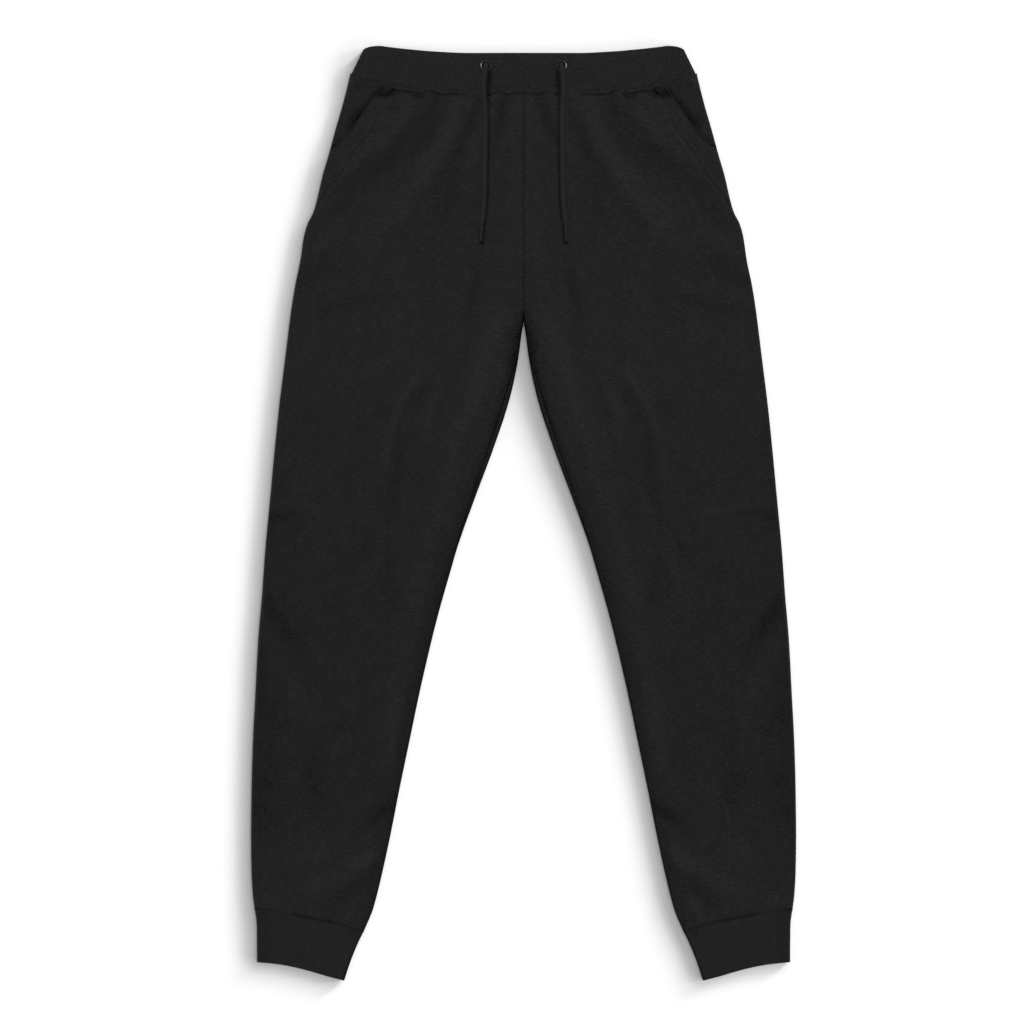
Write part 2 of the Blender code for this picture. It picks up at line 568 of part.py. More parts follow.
def make_garment():
    fleece = material_of("fleece", (0.018, 0.018, 0.019), 0.95)
    rib = material_of("rib", (0.017, 0.017, 0.018), 0.92)
    braid = material_of("cord", (0.020, 0.020, 0.021), 0.85)
    nickel = material_of("eyelet metal", (0.62, 0.60, 0.57), 0.28, 1.0)
    tip = material_of("cord tip", (0.012, 0.012, 0.013), 0.40)
    front, back, facing = front_panel(), back_panel(), pocket_facing()
    front_top, facing_top = front[0][0, 1:, 0], facing[0][0, :, 0]
    band_flat = BAND_SEAM_HALF - BAND_PROFILE["high"][-1] / 2
    beyond_mouth = facing_top[(facing_top > front_top[-1] + 4 * MM) & (facing_top < band_flat - MM)]
    back_flat = back[0][0, len(BACK_ROLL_SHARES) - 1, 0]
    band = waistband(
        np.concatenate([front_top, beyond_mouth, [band_flat]]), np.append(BAND_SEAM["across"][1:-2], band_flat)
    )
    leg_end = front[0][-1, :, 0]
    cuff_flat = CUFF_SIDES["inner"][0] + CUFF_HIGH / 2, CUFF_SIDES["outer"][0] - CUFF_HIGH / 2
    on_top = leg_end[(leg_end > cuff_flat[0] + MM) & (leg_end < cuff_flat[1] - MM)]
    rib_loop = cuff(np.concatenate([cuff_flat[:1], on_top, cuff_flat[1:]]), CUFF_SEAM["across"][1:-1])
    add_wall("waistband", band, 1, rib, loop=True)
    for word, side in (("left", 1), ("right", -1)):
        add_wall(f"front_{word}", front, side, fleece)
        add_wall(f"back_{word}", back, side, fleece)
        add_wall(f"pocket_facing_{word}", facing, side, fleece)
        add_wall(f"cuff_{word}", rib_loop, side, rib, loop=True)
        eyelet(f"eyelet_{word}", side, nickel)
        drawcord(f"drawcord_{word}", side, braid)
        cord_tip(f"cord_tip_{word}", side, tip)


clear_scene()
garment = bpy.data.collections.new("jogger_sweatpants")
bpy.context.scene.collection.children.link(garment)
make_garment()
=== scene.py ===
"""Jogger sweatpants laid flat on their back: the cloth, cord and trim that show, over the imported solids.

The two halves mirror each other. A place is given by how far across it is from the centre front, how far down
from the waistband's highest corner and how high above the floor: in metres, and in the tables in millimetres.
The wearer's left leg is on the +X side, and the waistband is towards +Y.
"""

import bpy
import numpy as np
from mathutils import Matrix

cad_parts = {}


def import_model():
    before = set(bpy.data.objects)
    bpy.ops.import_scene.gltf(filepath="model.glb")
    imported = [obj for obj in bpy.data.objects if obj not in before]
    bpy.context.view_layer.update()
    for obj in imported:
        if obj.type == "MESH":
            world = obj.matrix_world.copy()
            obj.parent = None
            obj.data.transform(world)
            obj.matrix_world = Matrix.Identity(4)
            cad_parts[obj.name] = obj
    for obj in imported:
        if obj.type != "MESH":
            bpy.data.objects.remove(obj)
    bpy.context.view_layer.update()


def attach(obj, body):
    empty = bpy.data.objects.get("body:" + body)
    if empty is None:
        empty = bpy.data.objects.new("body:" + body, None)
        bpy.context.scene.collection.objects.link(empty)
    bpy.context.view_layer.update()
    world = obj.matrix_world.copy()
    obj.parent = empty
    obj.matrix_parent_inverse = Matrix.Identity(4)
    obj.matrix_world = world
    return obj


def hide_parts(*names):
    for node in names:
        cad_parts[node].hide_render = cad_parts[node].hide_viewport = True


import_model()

MM = 0.001
SIDES = (("left", 1), ("right", -1))

# Sizes, as in the solids.
LENGTH = 1.0456  # the waistband's highest corner to the cuffs' lowest corner
CLOTH = 0.0020  # fleece of the legs and the pocket facing
BAND_CLOTH = 0.0030  # folded waistband over its elastic
CUFF_CLOTH = 0.0024  # folded rib
CROTCH_DOWN = 0.3065  # where the two legs part
CROTCH_TURN = 0.010  # length over which the crotch's edge rolls under
ROW_START = 0.050  # the level at which the rows of a leg start, before they follow the waistband's seam
TOP_SHARE = 0.08  # share of a leg's rows that bend to follow that seam
EDGE_PATH = 0.014  # stretch of cloth at each edge of a leg that is worked out along the roll
EDGE_BLEND = 0.045  # width over which a leg's height changes from its edge to its middle
FOLD_FADE = 0.016  # width over which folds die out at a leg's edges
FACING_UNDER = 0.010  # how far the pocket facing reaches under the pocket mouth
FACING_END = 0.1105  # how far down it reaches
LAYER_RISE = CLOTH + 0.0004  # what a front panel gains by lying on the facing
LIFT_START, LIFT_END = 0.111, 0.120  # where the front panel comes down beside the facing again
BAND_TOP_HALF, BAND_SEAM_HALF = 0.1795, 0.1939
CUFF_HIGH = 0.0060
CORD = 0.0052  # diameter of the drawcord
TIP = 0.0040  # diameter of a cord tip

# Sizes of the finer form here.
CLOSED_GAP = 0.002 * MM  # between two sewn pieces, where their solids leave room
UNDER_BAND = 3.0 * MM  # how far the legs' cloth reaches under the waistband's edge
UNDER_CUFF = 1.5 * MM
RIB_PITCH = 1.6 * MM
EYELET_ACROSS, EYELET_DOWN = 42.0 * MM, 22.2 * MM
EYELET_RADIUS = 6.6 * MM
EYELET_WELL = 4.3 * MM  # radius of the well that the eyelet's barrel presses into the cloth
BAND_AT_EYELET = 7.9 * MM  # height of the cloth that the ring lies on
BESIDE_CORD = 38.4 * MM  # across, where the cord keeps the light off the waistband
STITCH, THREAD = 2.9 * MM, 0.42 * MM  # length of a stitch and thickness of its thread
STRANDS = 6  # strands of the drawcord's braid that wind each way
BRAID_STEP = 3.1 * MM  # distance along the cord in which the pattern comes round
CORD_ON_CLOTH = 62 * MM  # how far down the cord has left the waistband and lies on the front panel
CORNER_AT, CORNER_SIZE = (154 * MM, 53 * MM), (14.5 * MM, 6.6 * MM)  # hollow where the pocket mouth starts
MOUTH_SLANT, STITCH_SLANT = 0.78, 0.77  # distance square to a slanted line for each step across

# Columns of the tables that hold no length.
SHARES = ("share", "sharp", "strong", "shade", "dark", "light")

# Numbers of points.
EDGE_COLUMNS, FRONT_COLUMNS, BACK_COLUMNS = 13, 102, 42
BAND_COLUMNS, CUFF_COLUMNS = (760, 240), (460, 240)  # over the front and underneath
HALF_TURN = np.linspace(-1, 1, 15) * np.pi / 2  # angles round the side of a flattened loop
FOLD_STEPS = 9
CORD_RINGS, CORD_SIDES = 420, 36
TIP_SIDES = 32
EYELET_SIDES, EYELET_TURN = 48, 72
STITCH_RINGS, STITCH_SIDES = 7, 6


def table(columns, rows):
    """The rows as one array for each named column. Millimetres become metres, and shares stay as they are."""
    named = zip(columns.split(), zip(*rows))
    return {name: np.array(values) * (1.0 if name in SHARES else MM) for name, values in named}


# Sections of a leg from its inner to its outer edge, with the height of its top at both and in the middle.
# inseam_in and side_in are how far in from the edges the seams show.
LEG = table("down inner outer inner_high middle_high outer_high inseam_in side_in", (
    (33, 0, 194.3, 7, 7.3, 4.9, 0, 0), (64.6, 0, 202.2, 7, 7.3, 4.9, 0, 0),
    (91.5, 0, 210, 6.9, 7.3, 4.9, 0, 0), (112, 0, 215.6, 6.8, 7.3, 4.9, 0, 0),
    (121, 0, 218, 6.7, 7.3, 6.6, 0, 0), (145.3, 0, 225.1, 6.6, 7, 6.5, 0, 0),
    (172.1, 0, 231.3, 6.5, 6.7, 6.2, 0, 0), (185.6, 0, 235.2, 6.5, 6.6, 6, 0, 0),
    (199, 0, 241.9, 6.4, 6.4, 5.9, 0, 0), (212.5, 0, 245.8, 6.4, 6.3, 5.8, 0, 0),
    (239.3, 0, 249.8, 6.4, 6.2, 5.7, 0, 0), (266.2, 0, 255.4, 6.6, 6, 5.6, 0, 0),
    (293.1, 0, 259.8, 7, 5.9, 5.6, 0, 0), (306.5, 0, 261.6, 7.2, 5.8, 5.6, 0, 0),
    (320, 2, 263.3, 7.2, 5.8, 5.6, 0, 0), (346.9, 5.5, 266.6, 7.2, 5.7, 5.5, 0.2, 0),
    (373.7, 10.4, 270, 7.2, 5.7, 5.5, 4, 0), (400.6, 17.1, 273.3, 7, 5.6, 5.5, 5.6, 0),
    (454.4, 35.1, 278.9, 6.6, 5.6, 5.5, 4.9, 0), (508.1, 55.2, 283.9, 6.2, 5.6, 5.4, 3.3, 0),
    (561.9, 74.3, 289, 5.8, 5.6, 5.4, 0.4, 0), (588.8, 82.1, 291, 5.7, 5.6, 5.4, 0, 0.3),
    (615.7, 89.9, 292.9, 5.6, 5.6, 5.4, 0, 3.5), (642.5, 97.2, 295.3, 5.6, 5.6, 5.4, 0, 5),
    (669.4, 103.9, 297.4, 5.5, 5.6, 5.4, 0, 4.8), (723.2, 116.3, 300.2, 5.5, 5.6, 5.4, 0, 4.2),
    (776.9, 127.5, 303, 5.5, 5.6, 5.4, 0, 3.5), (830.7, 138.7, 304.6, 5.5, 5.6, 5.4, 0, 3.4),
    (884.5, 149.3, 305.2, 5.6, 5.7, 5.5, 0, 4), (924.8, 158, 304.6, 5.8, 5.9, 5.6, 0, 3),
    (951.7, 164.5, 303, 6, 6, 5.9, 0, 1.5), (967.3, 168.9, 301.2, 6, 6, 6, 0, 0),
    (992, 179.3, 300.9, 6, 6, 6, 0, 0),
))
# The waistband's edges, and how its height changes from top to seam.
BAND_TOP = table("across down", (
    (0, 7.8), (62, 7.9), (100, 6.2), (130, 3.6), (150, 1.4), (162, 0), (170, 0.6), (176, 2.2), (179.5, 4.2),
))
BAND_SEAM = table("across down", (
    (0, 52.3), (116, 52.3), (132.8, 50.1), (144, 46.7), (156.4, 41.1), (175.4, 37.7), (193.9, 33.8),
))
BAND_PROFILE = table("share high", (
    (0, 7.2), (0.15, 8), (0.5, 8.2), (0.85, 8), (1, 7.8),
))
CUFF_SEAM = table("across down", (
    (179.3, 991.4), (191, 987.5), (202, 983.2), (214, 980.7), (233, 977.4), (256, 972.8), (284, 967.7),
    (301, 966.2),
))
CUFF_HEM = table("across down", (
    (200.8, 1046.2), (219.2, 1041.4), (237.8, 1035.9), (256.3, 1031.2), (273.1, 1028), (298.4, 1025.4),
))
CUFF_SIDES = table("share inner outer", (
    (0, 179.3, 301), (0.3, 187, 298.8), (0.65, 194.5, 298.5), (1, 200.8, 298.4),
))
POCKET_MOUTH = table("down across", (
    (41.1, 156.4), (60.1, 170), (84, 185.8), (104.9, 201.2), (116.1, 215.9),
))
POCKET_STITCH = table("down across", (
    (87, 166.4), (98, 172.5), (109.5, 182), (120, 190), (129, 196), (145.5, 205.5), (161, 219), (175, 228),
    (184, 234.4),
))
MOUTH_START, MOUTH_END = POCKET_MOUTH["down"][[0, -1]]

# Distance between a front panel's rows of points, closer where the cloth is gathered or sewn.
ROW_STEPS = table("down step", (
    (50, 1.1), (75, 1.3), (130, 2.3), (280, 2.6), (310, 2.2), (400, 3.2), (900, 3.3), (950, 2.2),
    (991.4, 1.1),
))

# Folds, each from one place by another to a third. At half_width a third of the height is left, which is
# negative in a trough. shade is how much darker or lighter the cloth is painted there: painted shade in the
# troughs, painted highlights on the ridges, and painted light or shade alone where the height is 0.
FOLD = "from_across from_down by_across by_down to_across to_down half_width height shade"
FOLDS = table(FOLD, (
    # Hip and crotch.
    (85, 58, 91, 92, 118, 125, 13, -2.7, -0.09), (112, 103, 150, 137, 199, 165, 19, -2.6, -0.17),
    (116, 62, 141, 96, 183, 132, 12, 2.2, 0.09), (67, 58, 82, 105, 105, 152, 14, 2.7, 0.09),
    (100, 139, 127, 179, 168, 217, 16, 2.4, 0.12), (47, 69, 54, 94, 69, 127, 10, -1.5, -0.04),
    (14, 53, 20, 76, 30, 105, 8, -2, -0.2), (250, 239, 224, 225, 190, 208, 9, 1.1, 0.04),
    (257, 288, 201, 277, 143, 270, 10, 1.3, 0.02),
    # Thigh.
    (22, 309, 62, 425, 112, 598, 13, 1.7, 0.14), (105, 383, 112, 398, 123, 423, 8, -0.9, -0.09),
    (134, 434, 137, 481, 152, 542, 9, -1.5, -0.13), (291, 529, 271, 527, 244, 523, 6, -1.5, -0.17),
    # Knee and calf.
    (108, 575, 126, 667, 142, 766, 13, 1, 0.12), (138, 721, 145, 777, 152, 826, 12, 0.8, 0.09),
    (291, 613, 269, 645, 241, 684, 9, -2.5, -0.28), (277, 665, 253, 712, 219, 768, 14, 1.3, 0.09),
    (221, 770, 231, 804, 235, 840, 12, -0.9, -0.14), (136, 837, 154, 858, 179, 876, 8, -1.8, -0.34),
    # Over the cuff.
    (132, 890, 179, 919, 234, 951, 12, 2.4, 0.11),
))
# Small folds, of the size that the solids leave out.
CREASES = table(FOLD, (
    # Hip and crotch.
    (94, 52, 97, 67, 104, 85, 6, -0.9, -0.12), (71, 156, 80, 177, 91, 197, 9, -0.8, -0.14),
    (255, 275, 228, 255, 194, 235, 9, -0.7, -0.16), (253, 311, 210, 294, 145, 282, 7, -0.6, -0.11),
    (199, 177, 211, 189, 221, 204, 9, -0.7, -0.15), (48, 257, 54, 279, 61, 307, 7, -1, -0.22),
    (206, 212, 188, 228, 156, 208, 14, 0, 0.05), (17, 304, 28, 320, 38, 340, 11, 0.3, 0.05),
    (127, 53, 119, 58, 110, 54, 2, -0.4, -0.7),
    # Thigh.
    (107, 363, 133, 396, 151, 450, 6, 0.9, 0.16), (151, 452, 156, 477, 168, 497, 5, 0.4, 0.07),
    (82, 369, 96, 396, 109, 454, 6, 0.7, 0.09), (103, 376, 93, 367, 76, 366, 4, -0.6, -0.09),
    (91, 394, 90, 410, 93, 425, 5, -0.6, -0.07), (172, 398, 156, 406, 143, 414, 9, -0.7, -0.1),
    (268, 510, 226, 519, 156, 533, 4, 0.7, 0.12), (152, 557, 161, 580, 172, 607, 5, 0.6, 0.09),
    (170, 546, 174, 564, 183, 578, 6, -0.6, -0.09), (143, 589, 141, 607, 136, 625, 8, -0.6, -0.1),
    (230, 340, 250, 354, 273, 347, 12, 0.6, 0.07), (266, 387, 244, 394, 217, 387, 9, 0.4, 0.03),
    (241, 367, 230, 374, 217, 374, 6, -0.4, -0.07), (112, 340, 89, 347, 69, 342, 12, -0.4, -0.05),
    # Knee and calf.
    (293, 739, 282, 752, 268, 764, 9, -0.7, -0.14), (297, 817, 284, 825, 268, 831, 8, -0.7, -0.15),
    (302, 849, 286, 860, 259, 882, 13, -0.2, -0.1), (235, 822, 228, 842, 226, 864, 10, -0.5, -0.17),
    (215, 761, 199, 764, 181, 767, 5, -0.4, -0.12), (217, 806, 221, 817, 212, 828, 6, -0.4, -0.1),
    (170, 786, 165, 795, 161, 804, 5, -0.4, -0.05), (293, 665, 297, 777, 286, 880, 26, 0, -0.13),
    # Over the cuff.
    (165, 930, 192, 946, 224, 965, 8, -0.5, -0.22), (259, 898, 235, 907, 206, 898, 14, 0.7, 0.09),
    (185, 954, 190, 967, 199, 981, 7, 0.9, 0.1), (295, 957, 275, 958, 255, 952, 6, 0.7, 0.1),
))

# Along the waistband's seam: how far the gathers draw it down, and how sharp its line is, 0 to 1, which also
# sets how dark the shade painted along it is.
WAIST_WAVE = table("across lower", (
    (0, 1), (9, 1), (14, 1.4), (17.5, 2), (21, 0.4), (26, -0.4), (31, 0.2), (36, 2.2), (39, 2.8), (45, 1.4),
    (51, 0.2), (60, 0.5), (67, 2), (91, 2), (96, 0.8), (99, -1.4), (103, -1.4), (108, -0.4), (114, 0.8),
    (120, 1.4), (127, 0.2), (135, 1), (141.5, 2.4), (147, 2), (152, 0.8), (158, 0), (194, 0),
))
SEAM_LINE = table("across sharp", (
    (0, 0.4), (5, 0.45), (9, 0.25), (14, 0.3), (18, 0.4), (22, 0.2), (30, 0.2), (34, 0.5), (39, 0.7),
    (44, 0.3), (50, 0.05), (60, 0.1), (66, 0.7), (92, 0.8), (97, 0.9), (100, 0.5), (103, 0.1), (108, 0.1),
    (111, 0.6), (116, 1), (125, 0.9), (131, 0.9), (139, 0.9), (147, 0.45), (153, 0.1), (158, 0), (162, 0),
    (165, 0.5), (168, 0.8), (175, 0.8), (177, 0.2), (180, 0), (194, 0),
))
# How strongly the waistband's lower edge shows its row of stitching, in its groove and in the shade painted
# along it.
WAIST_LIP = table("across strong", (
    (0, 0.1), (30, 0.1), (60, 0.1), (68, 0.5), (94, 0.5), (100, 0.1), (110, 0.1), (115, 0.3), (124, 0.7),
    (144, 1), (152, 0.2), (194, 0.2),
))
# How wide and how dark the shadow painted on the facing beside the open pocket mouth is, and two small
# patches of painted shade on the facing.
MOUTH_SHADOW = table("down wide dark", (
    (43, 4, 0), (49, 5.5, 0.5), (60, 8, 0.72), (71, 12, 0.7), (80, 16, 0.8), (84, 15.5, 0.8), (89, 13, 0.65),
    (94, 10, 0.5), (101, 8, 0.3), (110, 6, 0.2),
))
FACING_SHADE_PATCHES = ((186, 43.5, 5, 2.5, 0.3), (208, 105.5, 5, 4, 0.35))  # across, down, wide, long, dark
# How sharp the cuff's seam is along it, which also sets how dark the shade painted on it is, and how dark the
# shade painted on the inseam's side of the leg is down it.
CUFF_LINE = table("across sharp", (
    (179, 0.5), (190, 0.6), (200, 0.7), (209, 0.75), (215, 1.15), (255, 1.15), (263, 0.35), (288, 0.3),
    (294, 0.8), (301, 0.9),
))
INSEAM_SHADE = table("down dark", (
    (290, 0), (306, 0.35), (325, 0.7), (400, 0.68), (455, 0.5), (520, 0.38), (600, 0.32), (960, 0.15),
))
# Painted light down the garment: how much lighter or darker the cloth is painted at each place down it,
# lighter over the hips and thighs and darker from the knees down to the shins.
PAINTED_LIGHT_DOWN = table("down light", (
    (49, 0.08), (116, 0.03), (183, 0.03), (250, 0.01), (318, 0.05), (385, 0.02), (452, -0.02), (553, -0.05),
    (620, -0.065), (822, -0.075), (861, -0.055), (900, -0.01), (973, 0),
))

CORD_ROUTE = table("across down up", (
    (41.8, 20.9, 10.5), (42.1, 24.4, 14.4), (42.9, 29.6, 16.2), (43.7, 36, 14.9), (44.2, 43, 12.6),
    (44.2, 50.5, 11.4), (43.4, 59, 11.3), (42.7, 70, 11.4), (42.4, 82, 11.3), (42.5, 96, 11.1),
    (42.7, 112, 10.8), (42.9, 128, 10.5), (43.1, 144, 10.3), (43.4, 160, 10.2), (44, 174, 10), (45, 186, 9.8),
    (46.6, 200.8, 9.6),
))
TIP_END = MM * np.array((48.0, 222.0))  # across and down
TIP_PROFILE = table("along radius", (
    (-0.6, 1.75), (-0.5, 1.95), (0, 2.05), (0.6, 2), (1.2, 1.95), (16.6, 1.95), (17.4, 1.8), (18, 1.75),
    (18.6, 1.95), (19.4, 2.05), (20.2, 1.9), (20.8, 1.35), (21, 0.6),
))
TIP_RINGS = np.interp(np.arange(44), (0, 9, 20, 43), (-0.6, 1.2, 16.6, 21))  # the rings' places, in mm
# An eyelet's section, from the barrel in the hole over the rolled rim and back underneath.
EYELET_SECTION = table("radius up", (
    (4.4, -2), (4.12, -1.9), (4.08, -0.6), (4.14, 0.2), (4.32, 0.72), (4.62, 1.02), (4.95, 1.16), (5.3, 1.16),
    (5.65, 1.02), (6, 0.74), (6.2, 0.42), (6.32, 0.05), (6.32, -0.3), (6.15, -0.55), (5.4, -0.6), (4.6, -0.7),
))


# ---- curves and levels ----


def smooth(x, xs, ys):
    """Cubic pieces through (xs, ys). The slope at a point is the harmonic mean of those beside it, or 0."""
    step = np.diff(xs)
    rise = np.diff(ys) / step
    slope = np.concatenate([rise[:1], np.zeros(len(rise) - 1), rise[-1:]])
    agree = rise[:-1] * rise[1:] > 0
    slope[1:-1][agree] = (2 * rise[:-1] * rise[1:] / (rise[:-1] + rise[1:] + ~agree))[agree]
    x = np.clip(x, xs[0], xs[-1])
    i = np.clip(np.searchsorted(xs, x, side="right") - 1, 0, len(step) - 1)
    t = (x - xs[i]) / step[i]
    ends = ys[i] * (1 + 2 * t) * (1 - t) ** 2 + ys[i + 1] * t * t * (3 - 2 * t)
    return ends + step[i] * (slope[i] * t * (1 - t) ** 2 - slope[i + 1] * t * t * (1 - t))


def ease(x):
    """0 below 0, 1 above 1, and 3x^2 - 2x^3 between."""
    x = np.clip(x, 0, 1)
    return x * x * (3 - 2 * x)


def bell(x, width):
    """exp of minus (x / width) squared."""
    return np.exp(-((x / width) ** 2))


def rounded(distance, radius):
    """How far a rounded edge falls: a quarter circle of this radius over the distance from it."""
    x = np.clip(distance, 0, radius)
    return radius - np.sqrt(radius**2 - (radius - x) ** 2)


def places(*values):
    """The values of each coordinate, joined into places."""
    return np.stack(np.broadcast_arrays(*values), axis=-1)


def curve(rows, column, at):
    """A table's column as a smooth curve over its first column, read at the places given."""
    return smooth(at, next(iter(rows.values())), rows[column])


def leg(column, down):
    return curve(LEG, column, down)


def inner_edge(down):
    return np.maximum(leg("inner", down), CLOSED_GAP / 2)


def band_seam(across):
    return curve(BAND_SEAM, "down", across) + curve(WAIST_WAVE, "lower", across)


def seam_sharp(across):
    return curve(SEAM_LINE, "sharp", np.abs(across))


def cuff_seam(across):
    return curve(CUFF_SEAM, "down", across)


def cuff_sharp(across):
    return curve(CUFF_LINE, "sharp", across)


def pocket_mouth(down):
    return curve(POCKET_MOUTH, "across", down)


def above_crotch(down):
    """1 beside the centre seam, fading to 0 just below the crotch."""
    return ease((CROTCH_DOWN + 12 * MM - down) / (10 * MM))


def line_distance(across, down, line_across, line_down):
    """How far each place is from a line of straight pieces, and how far along it, 0 to 1, the nearest
    point is."""
    count = len(line_across) - 1
    best = np.full(np.broadcast(across, down).shape, 1e9)
    along = np.zeros_like(best)
    for i in range(count):
        step = line_across[i + 1] - line_across[i], line_down[i + 1] - line_down[i]
        t = (across - line_across[i]) * step[0] + (down - line_down[i]) * step[1]
        t = np.clip(t / (step[0] ** 2 + step[1] ** 2), 0, 1)
        distance = np.hypot(across - line_across[i] - t * step[0], down - line_down[i] - t * step[1])
        along = np.where(distance < best, (i + t) / count, along)
        best = np.minimum(distance, best)
    return best, along


def stitch_distance(across, down):
    return line_distance(across, down, POCKET_STITCH["across"], POCKET_STITCH["down"])[0]


def folds(rows, across, down, column="height"):
    """What the folds add to the height, or to the painted shade: a bell over the distance to each fold's
    parabola, times most of a half sine along it so that its ends die out."""
    total = np.zeros(np.broadcast(across, down).shape)
    t = np.linspace(0, 1, FOLD_STEPS)
    left_at_ends = 0.12
    for i in np.flatnonzero(rows[column]):
        way = {}
        for axis in ("across", "down"):
            start, by, end = (rows[f"{place}_{axis}"][i] for place in ("from", "by", "to"))
            way[axis] = start * (1 - t) * (1 - 2 * t) + by * 4 * t * (1 - t) + end * t * (2 * t - 1)
        distance, along = line_distance(across, down, way["across"], way["down"])
        fade = np.sin(np.pi * (left_at_ends + (1 - 2 * left_at_ends) * along))
        total += rows[column][i] * bell(distance, rows["half_width"][i]) * fade
    return total


def ripple(across, down, seed, longest, height):
    """Soft unevenness: sine waves in seeded directions, each shorter and lower than the one before."""
    draw = np.random.default_rng(seed)
    total = np.zeros(np.broadcast(across, down).shape)
    waves, shrink, share = 18, 0.88, 0.35
    for i in range(waves):
        turn, phase = draw.uniform(0, np.pi), draw.uniform(0, 2 * np.pi)
        distance = across * np.cos(turn) + down * np.sin(turn)
        total += np.sin(2 * np.pi * distance / (longest * shrink**i) + phase) * height * shrink**i * share
    return total


def under_corner(across, down):
    """1 in the hollow under the waistband where the pocket mouth starts, fading to 0 round it and at the
    mouth's lip: exp of minus the fourth power of the distance in an oval."""
    oval = ((across - CORNER_AT[0]) / CORNER_SIZE[0]) ** 2 + ((down - CORNER_AT[1]) / CORNER_SIZE[1]) ** 2
    return np.exp(-(oval**2)) * (0.35 + 0.65 * ease((pocket_mouth(down) - across - 2 * MM) / (3 * MM)))


def front_side_high(down):
    """Height of a front panel at its side, which lies on the facing down to the pocket mouth's end."""
    return leg("outer_high", down) + LAYER_RISE * (1 - ease((down - LIFT_START) / (LIFT_END - LIFT_START)))


def seam_line(distance, width, depth):
    """Depth of a sewn line: a bell over the distance to it, less two low lips of a quarter of its depth."""
    return depth * (bell(distance, width) - 0.25 * bell(np.abs(distance) - 2.4 * width, 1.2 * width))


def front_level(across, down):
    """Height of a front panel's upper face: its middle height, eased to its rolled edges', plus the folds and
    less what the seams pull in."""
    inner_high, outer_high = leg("inner_high", down), front_side_high(down)
    middle, outer = leg("middle_high", down), leg("outer", down)
    from_inner = np.maximum(across - inner_edge(down) - inner_high / 2, 0)
    from_outer = np.maximum(outer - across - outer_high / 2, 0)
    level = middle + (inner_high - middle) * (1 - ease(from_inner / EDGE_BLEND))
    level += (outer_high - middle) * (1 - ease(from_outer / EDGE_BLEND))
    on_leg = ease((outer - across) / FOLD_FADE)
    on_leg = on_leg * np.where(down > CROTCH_DOWN, ease((across - inner_edge(down)) / FOLD_FADE), 1)
    below_band, above_cuff = down - band_seam(across), cuff_seam(across) - down
    level += folds(FOLDS, across, down) * on_leg * (0.5 + 0.5 * ease(below_band / FOLD_FADE))
    level += folds(CREASES, across, down) * on_leg
    level += ripple(across, down, 11, 0.085, 0.40 * MM) * on_leg
    level += ripple(across, down, 12, 0.030, 0.10 * MM) * on_leg
    sharp = seam_sharp(across)
    puffed = 0.5 * MM * (1 - sharp) * bell(below_band, 5 * MM)
    pulled = 1.1 * MM * sharp * bell(below_band - 0.4 * MM, 2.6 * MM)
    level += puffed - pulled - 2.4 * MM * under_corner(across, down)
    level -= bell(above_cuff, 2.2 * MM) * (0.3 + cuff_sharp(across)) * MM
    level += bell(above_cuff - 5 * MM, 3 * MM) * 0.5 * MM
    level -= seam_line(across, 1.0 * MM, 0.35 * MM) * above_crotch(down)
    return level - seam_line(stitch_distance(across, down), 1.1 * MM, 0.6 * MM)


def front_painted_light(across, down):
    """Painted light and shade: how much lighter or darker than its own colour the cloth is painted, darker in
    seams, hollows, fold troughs and on turned edges, lighter on lips and ridges, with a broad fall of light
    down the leg.
    """
    below_band, above_cuff = down - band_seam(across), cuff_seam(across) - down
    sharp, corner = cuff_sharp(across), under_corner(across, down)
    # Painted shade in the folds' troughs and painted highlights on their ridges.
    tone = folds(FOLDS, across, down, "shade") + folds(CREASES, across, down, "shade")
    # Painted shade along the waist seam, in the hollow under its corner and along the cuff's seam, with a
    # painted highlight on the lip above that seam and a broad painted shade over the cuff.
    tone -= 0.5 * seam_sharp(across) * bell(below_band - 0.6 * MM, 1.3 * MM) * (1 - corner)
    tone -= (0.75 - 0.3 * bell(below_band, 3 * MM)) * corner
    tone -= sharp * 0.45 * bell(above_cuff, 1.5 * MM) - 0.14 * bell(above_cuff - 3.4 * MM, 1.6 * MM)
    tone -= 0.2 * np.maximum(sharp - 0.6, 0) * bell(above_cuff - 3 * MM, 5 * MM)
    # Painted shade along the centre seam.
    tone -= 0.2 * bell(across, 1.0 * MM) * above_crotch(down)
    # Painted highlights on the lips of the pocket's topstitching, and painted shade in its groove.
    inward = (curve(POCKET_STITCH, "across", down) - across) * STITCH_SLANT
    lips = 0.20 * bell(inward - 3.0 * MM, 1.8 * MM) + 0.24 * bell(inward + 2.8 * MM, 1.6 * MM)
    stitch = stitch_distance(across, down)
    tone += lips * bell(stitch, 5 * MM) - 0.30 * bell(stitch, 1.1 * MM)
    # A painted highlight inside the pocket mouth's rim, and painted shade on the rim.
    mouth = (pocket_mouth(down) - across) * MOUTH_SLANT
    above_end = ease((MOUTH_END + 4 * MM - down) / (8 * MM))
    tone += (0.10 * bell(mouth - 4.0 * MM, 2.0 * MM) - 0.6 * bell(mouth, 1.5 * MM)) * above_end
    # Painted shade on the inseam's side of the leg.
    off_inseam = np.maximum(across - inner_edge(down), 0)
    tone -= curve(INSEAM_SHADE, "dark", down) * bell(off_inseam - 3 * MM, 8 * MM)
    # Painted light down the leg, lighter near the centre at the top, and painted shade towards the side below
    # the hips and at the outer edge.
    tone += curve(PAINTED_LIGHT_DOWN, "light", down)
    tone += 0.05 * bell(across, 32 * MM) * ease((280 * MM - down) / (60 * MM))
    off_side = leg("outer", down) - across
    tone -= 0.05 * bell(off_side, 28 * MM) * ease((down - 200 * MM) / (60 * MM))
    return tone - 0.15 * bell(off_side, 2.5 * MM)


# ---- grids of the sewn pieces ----


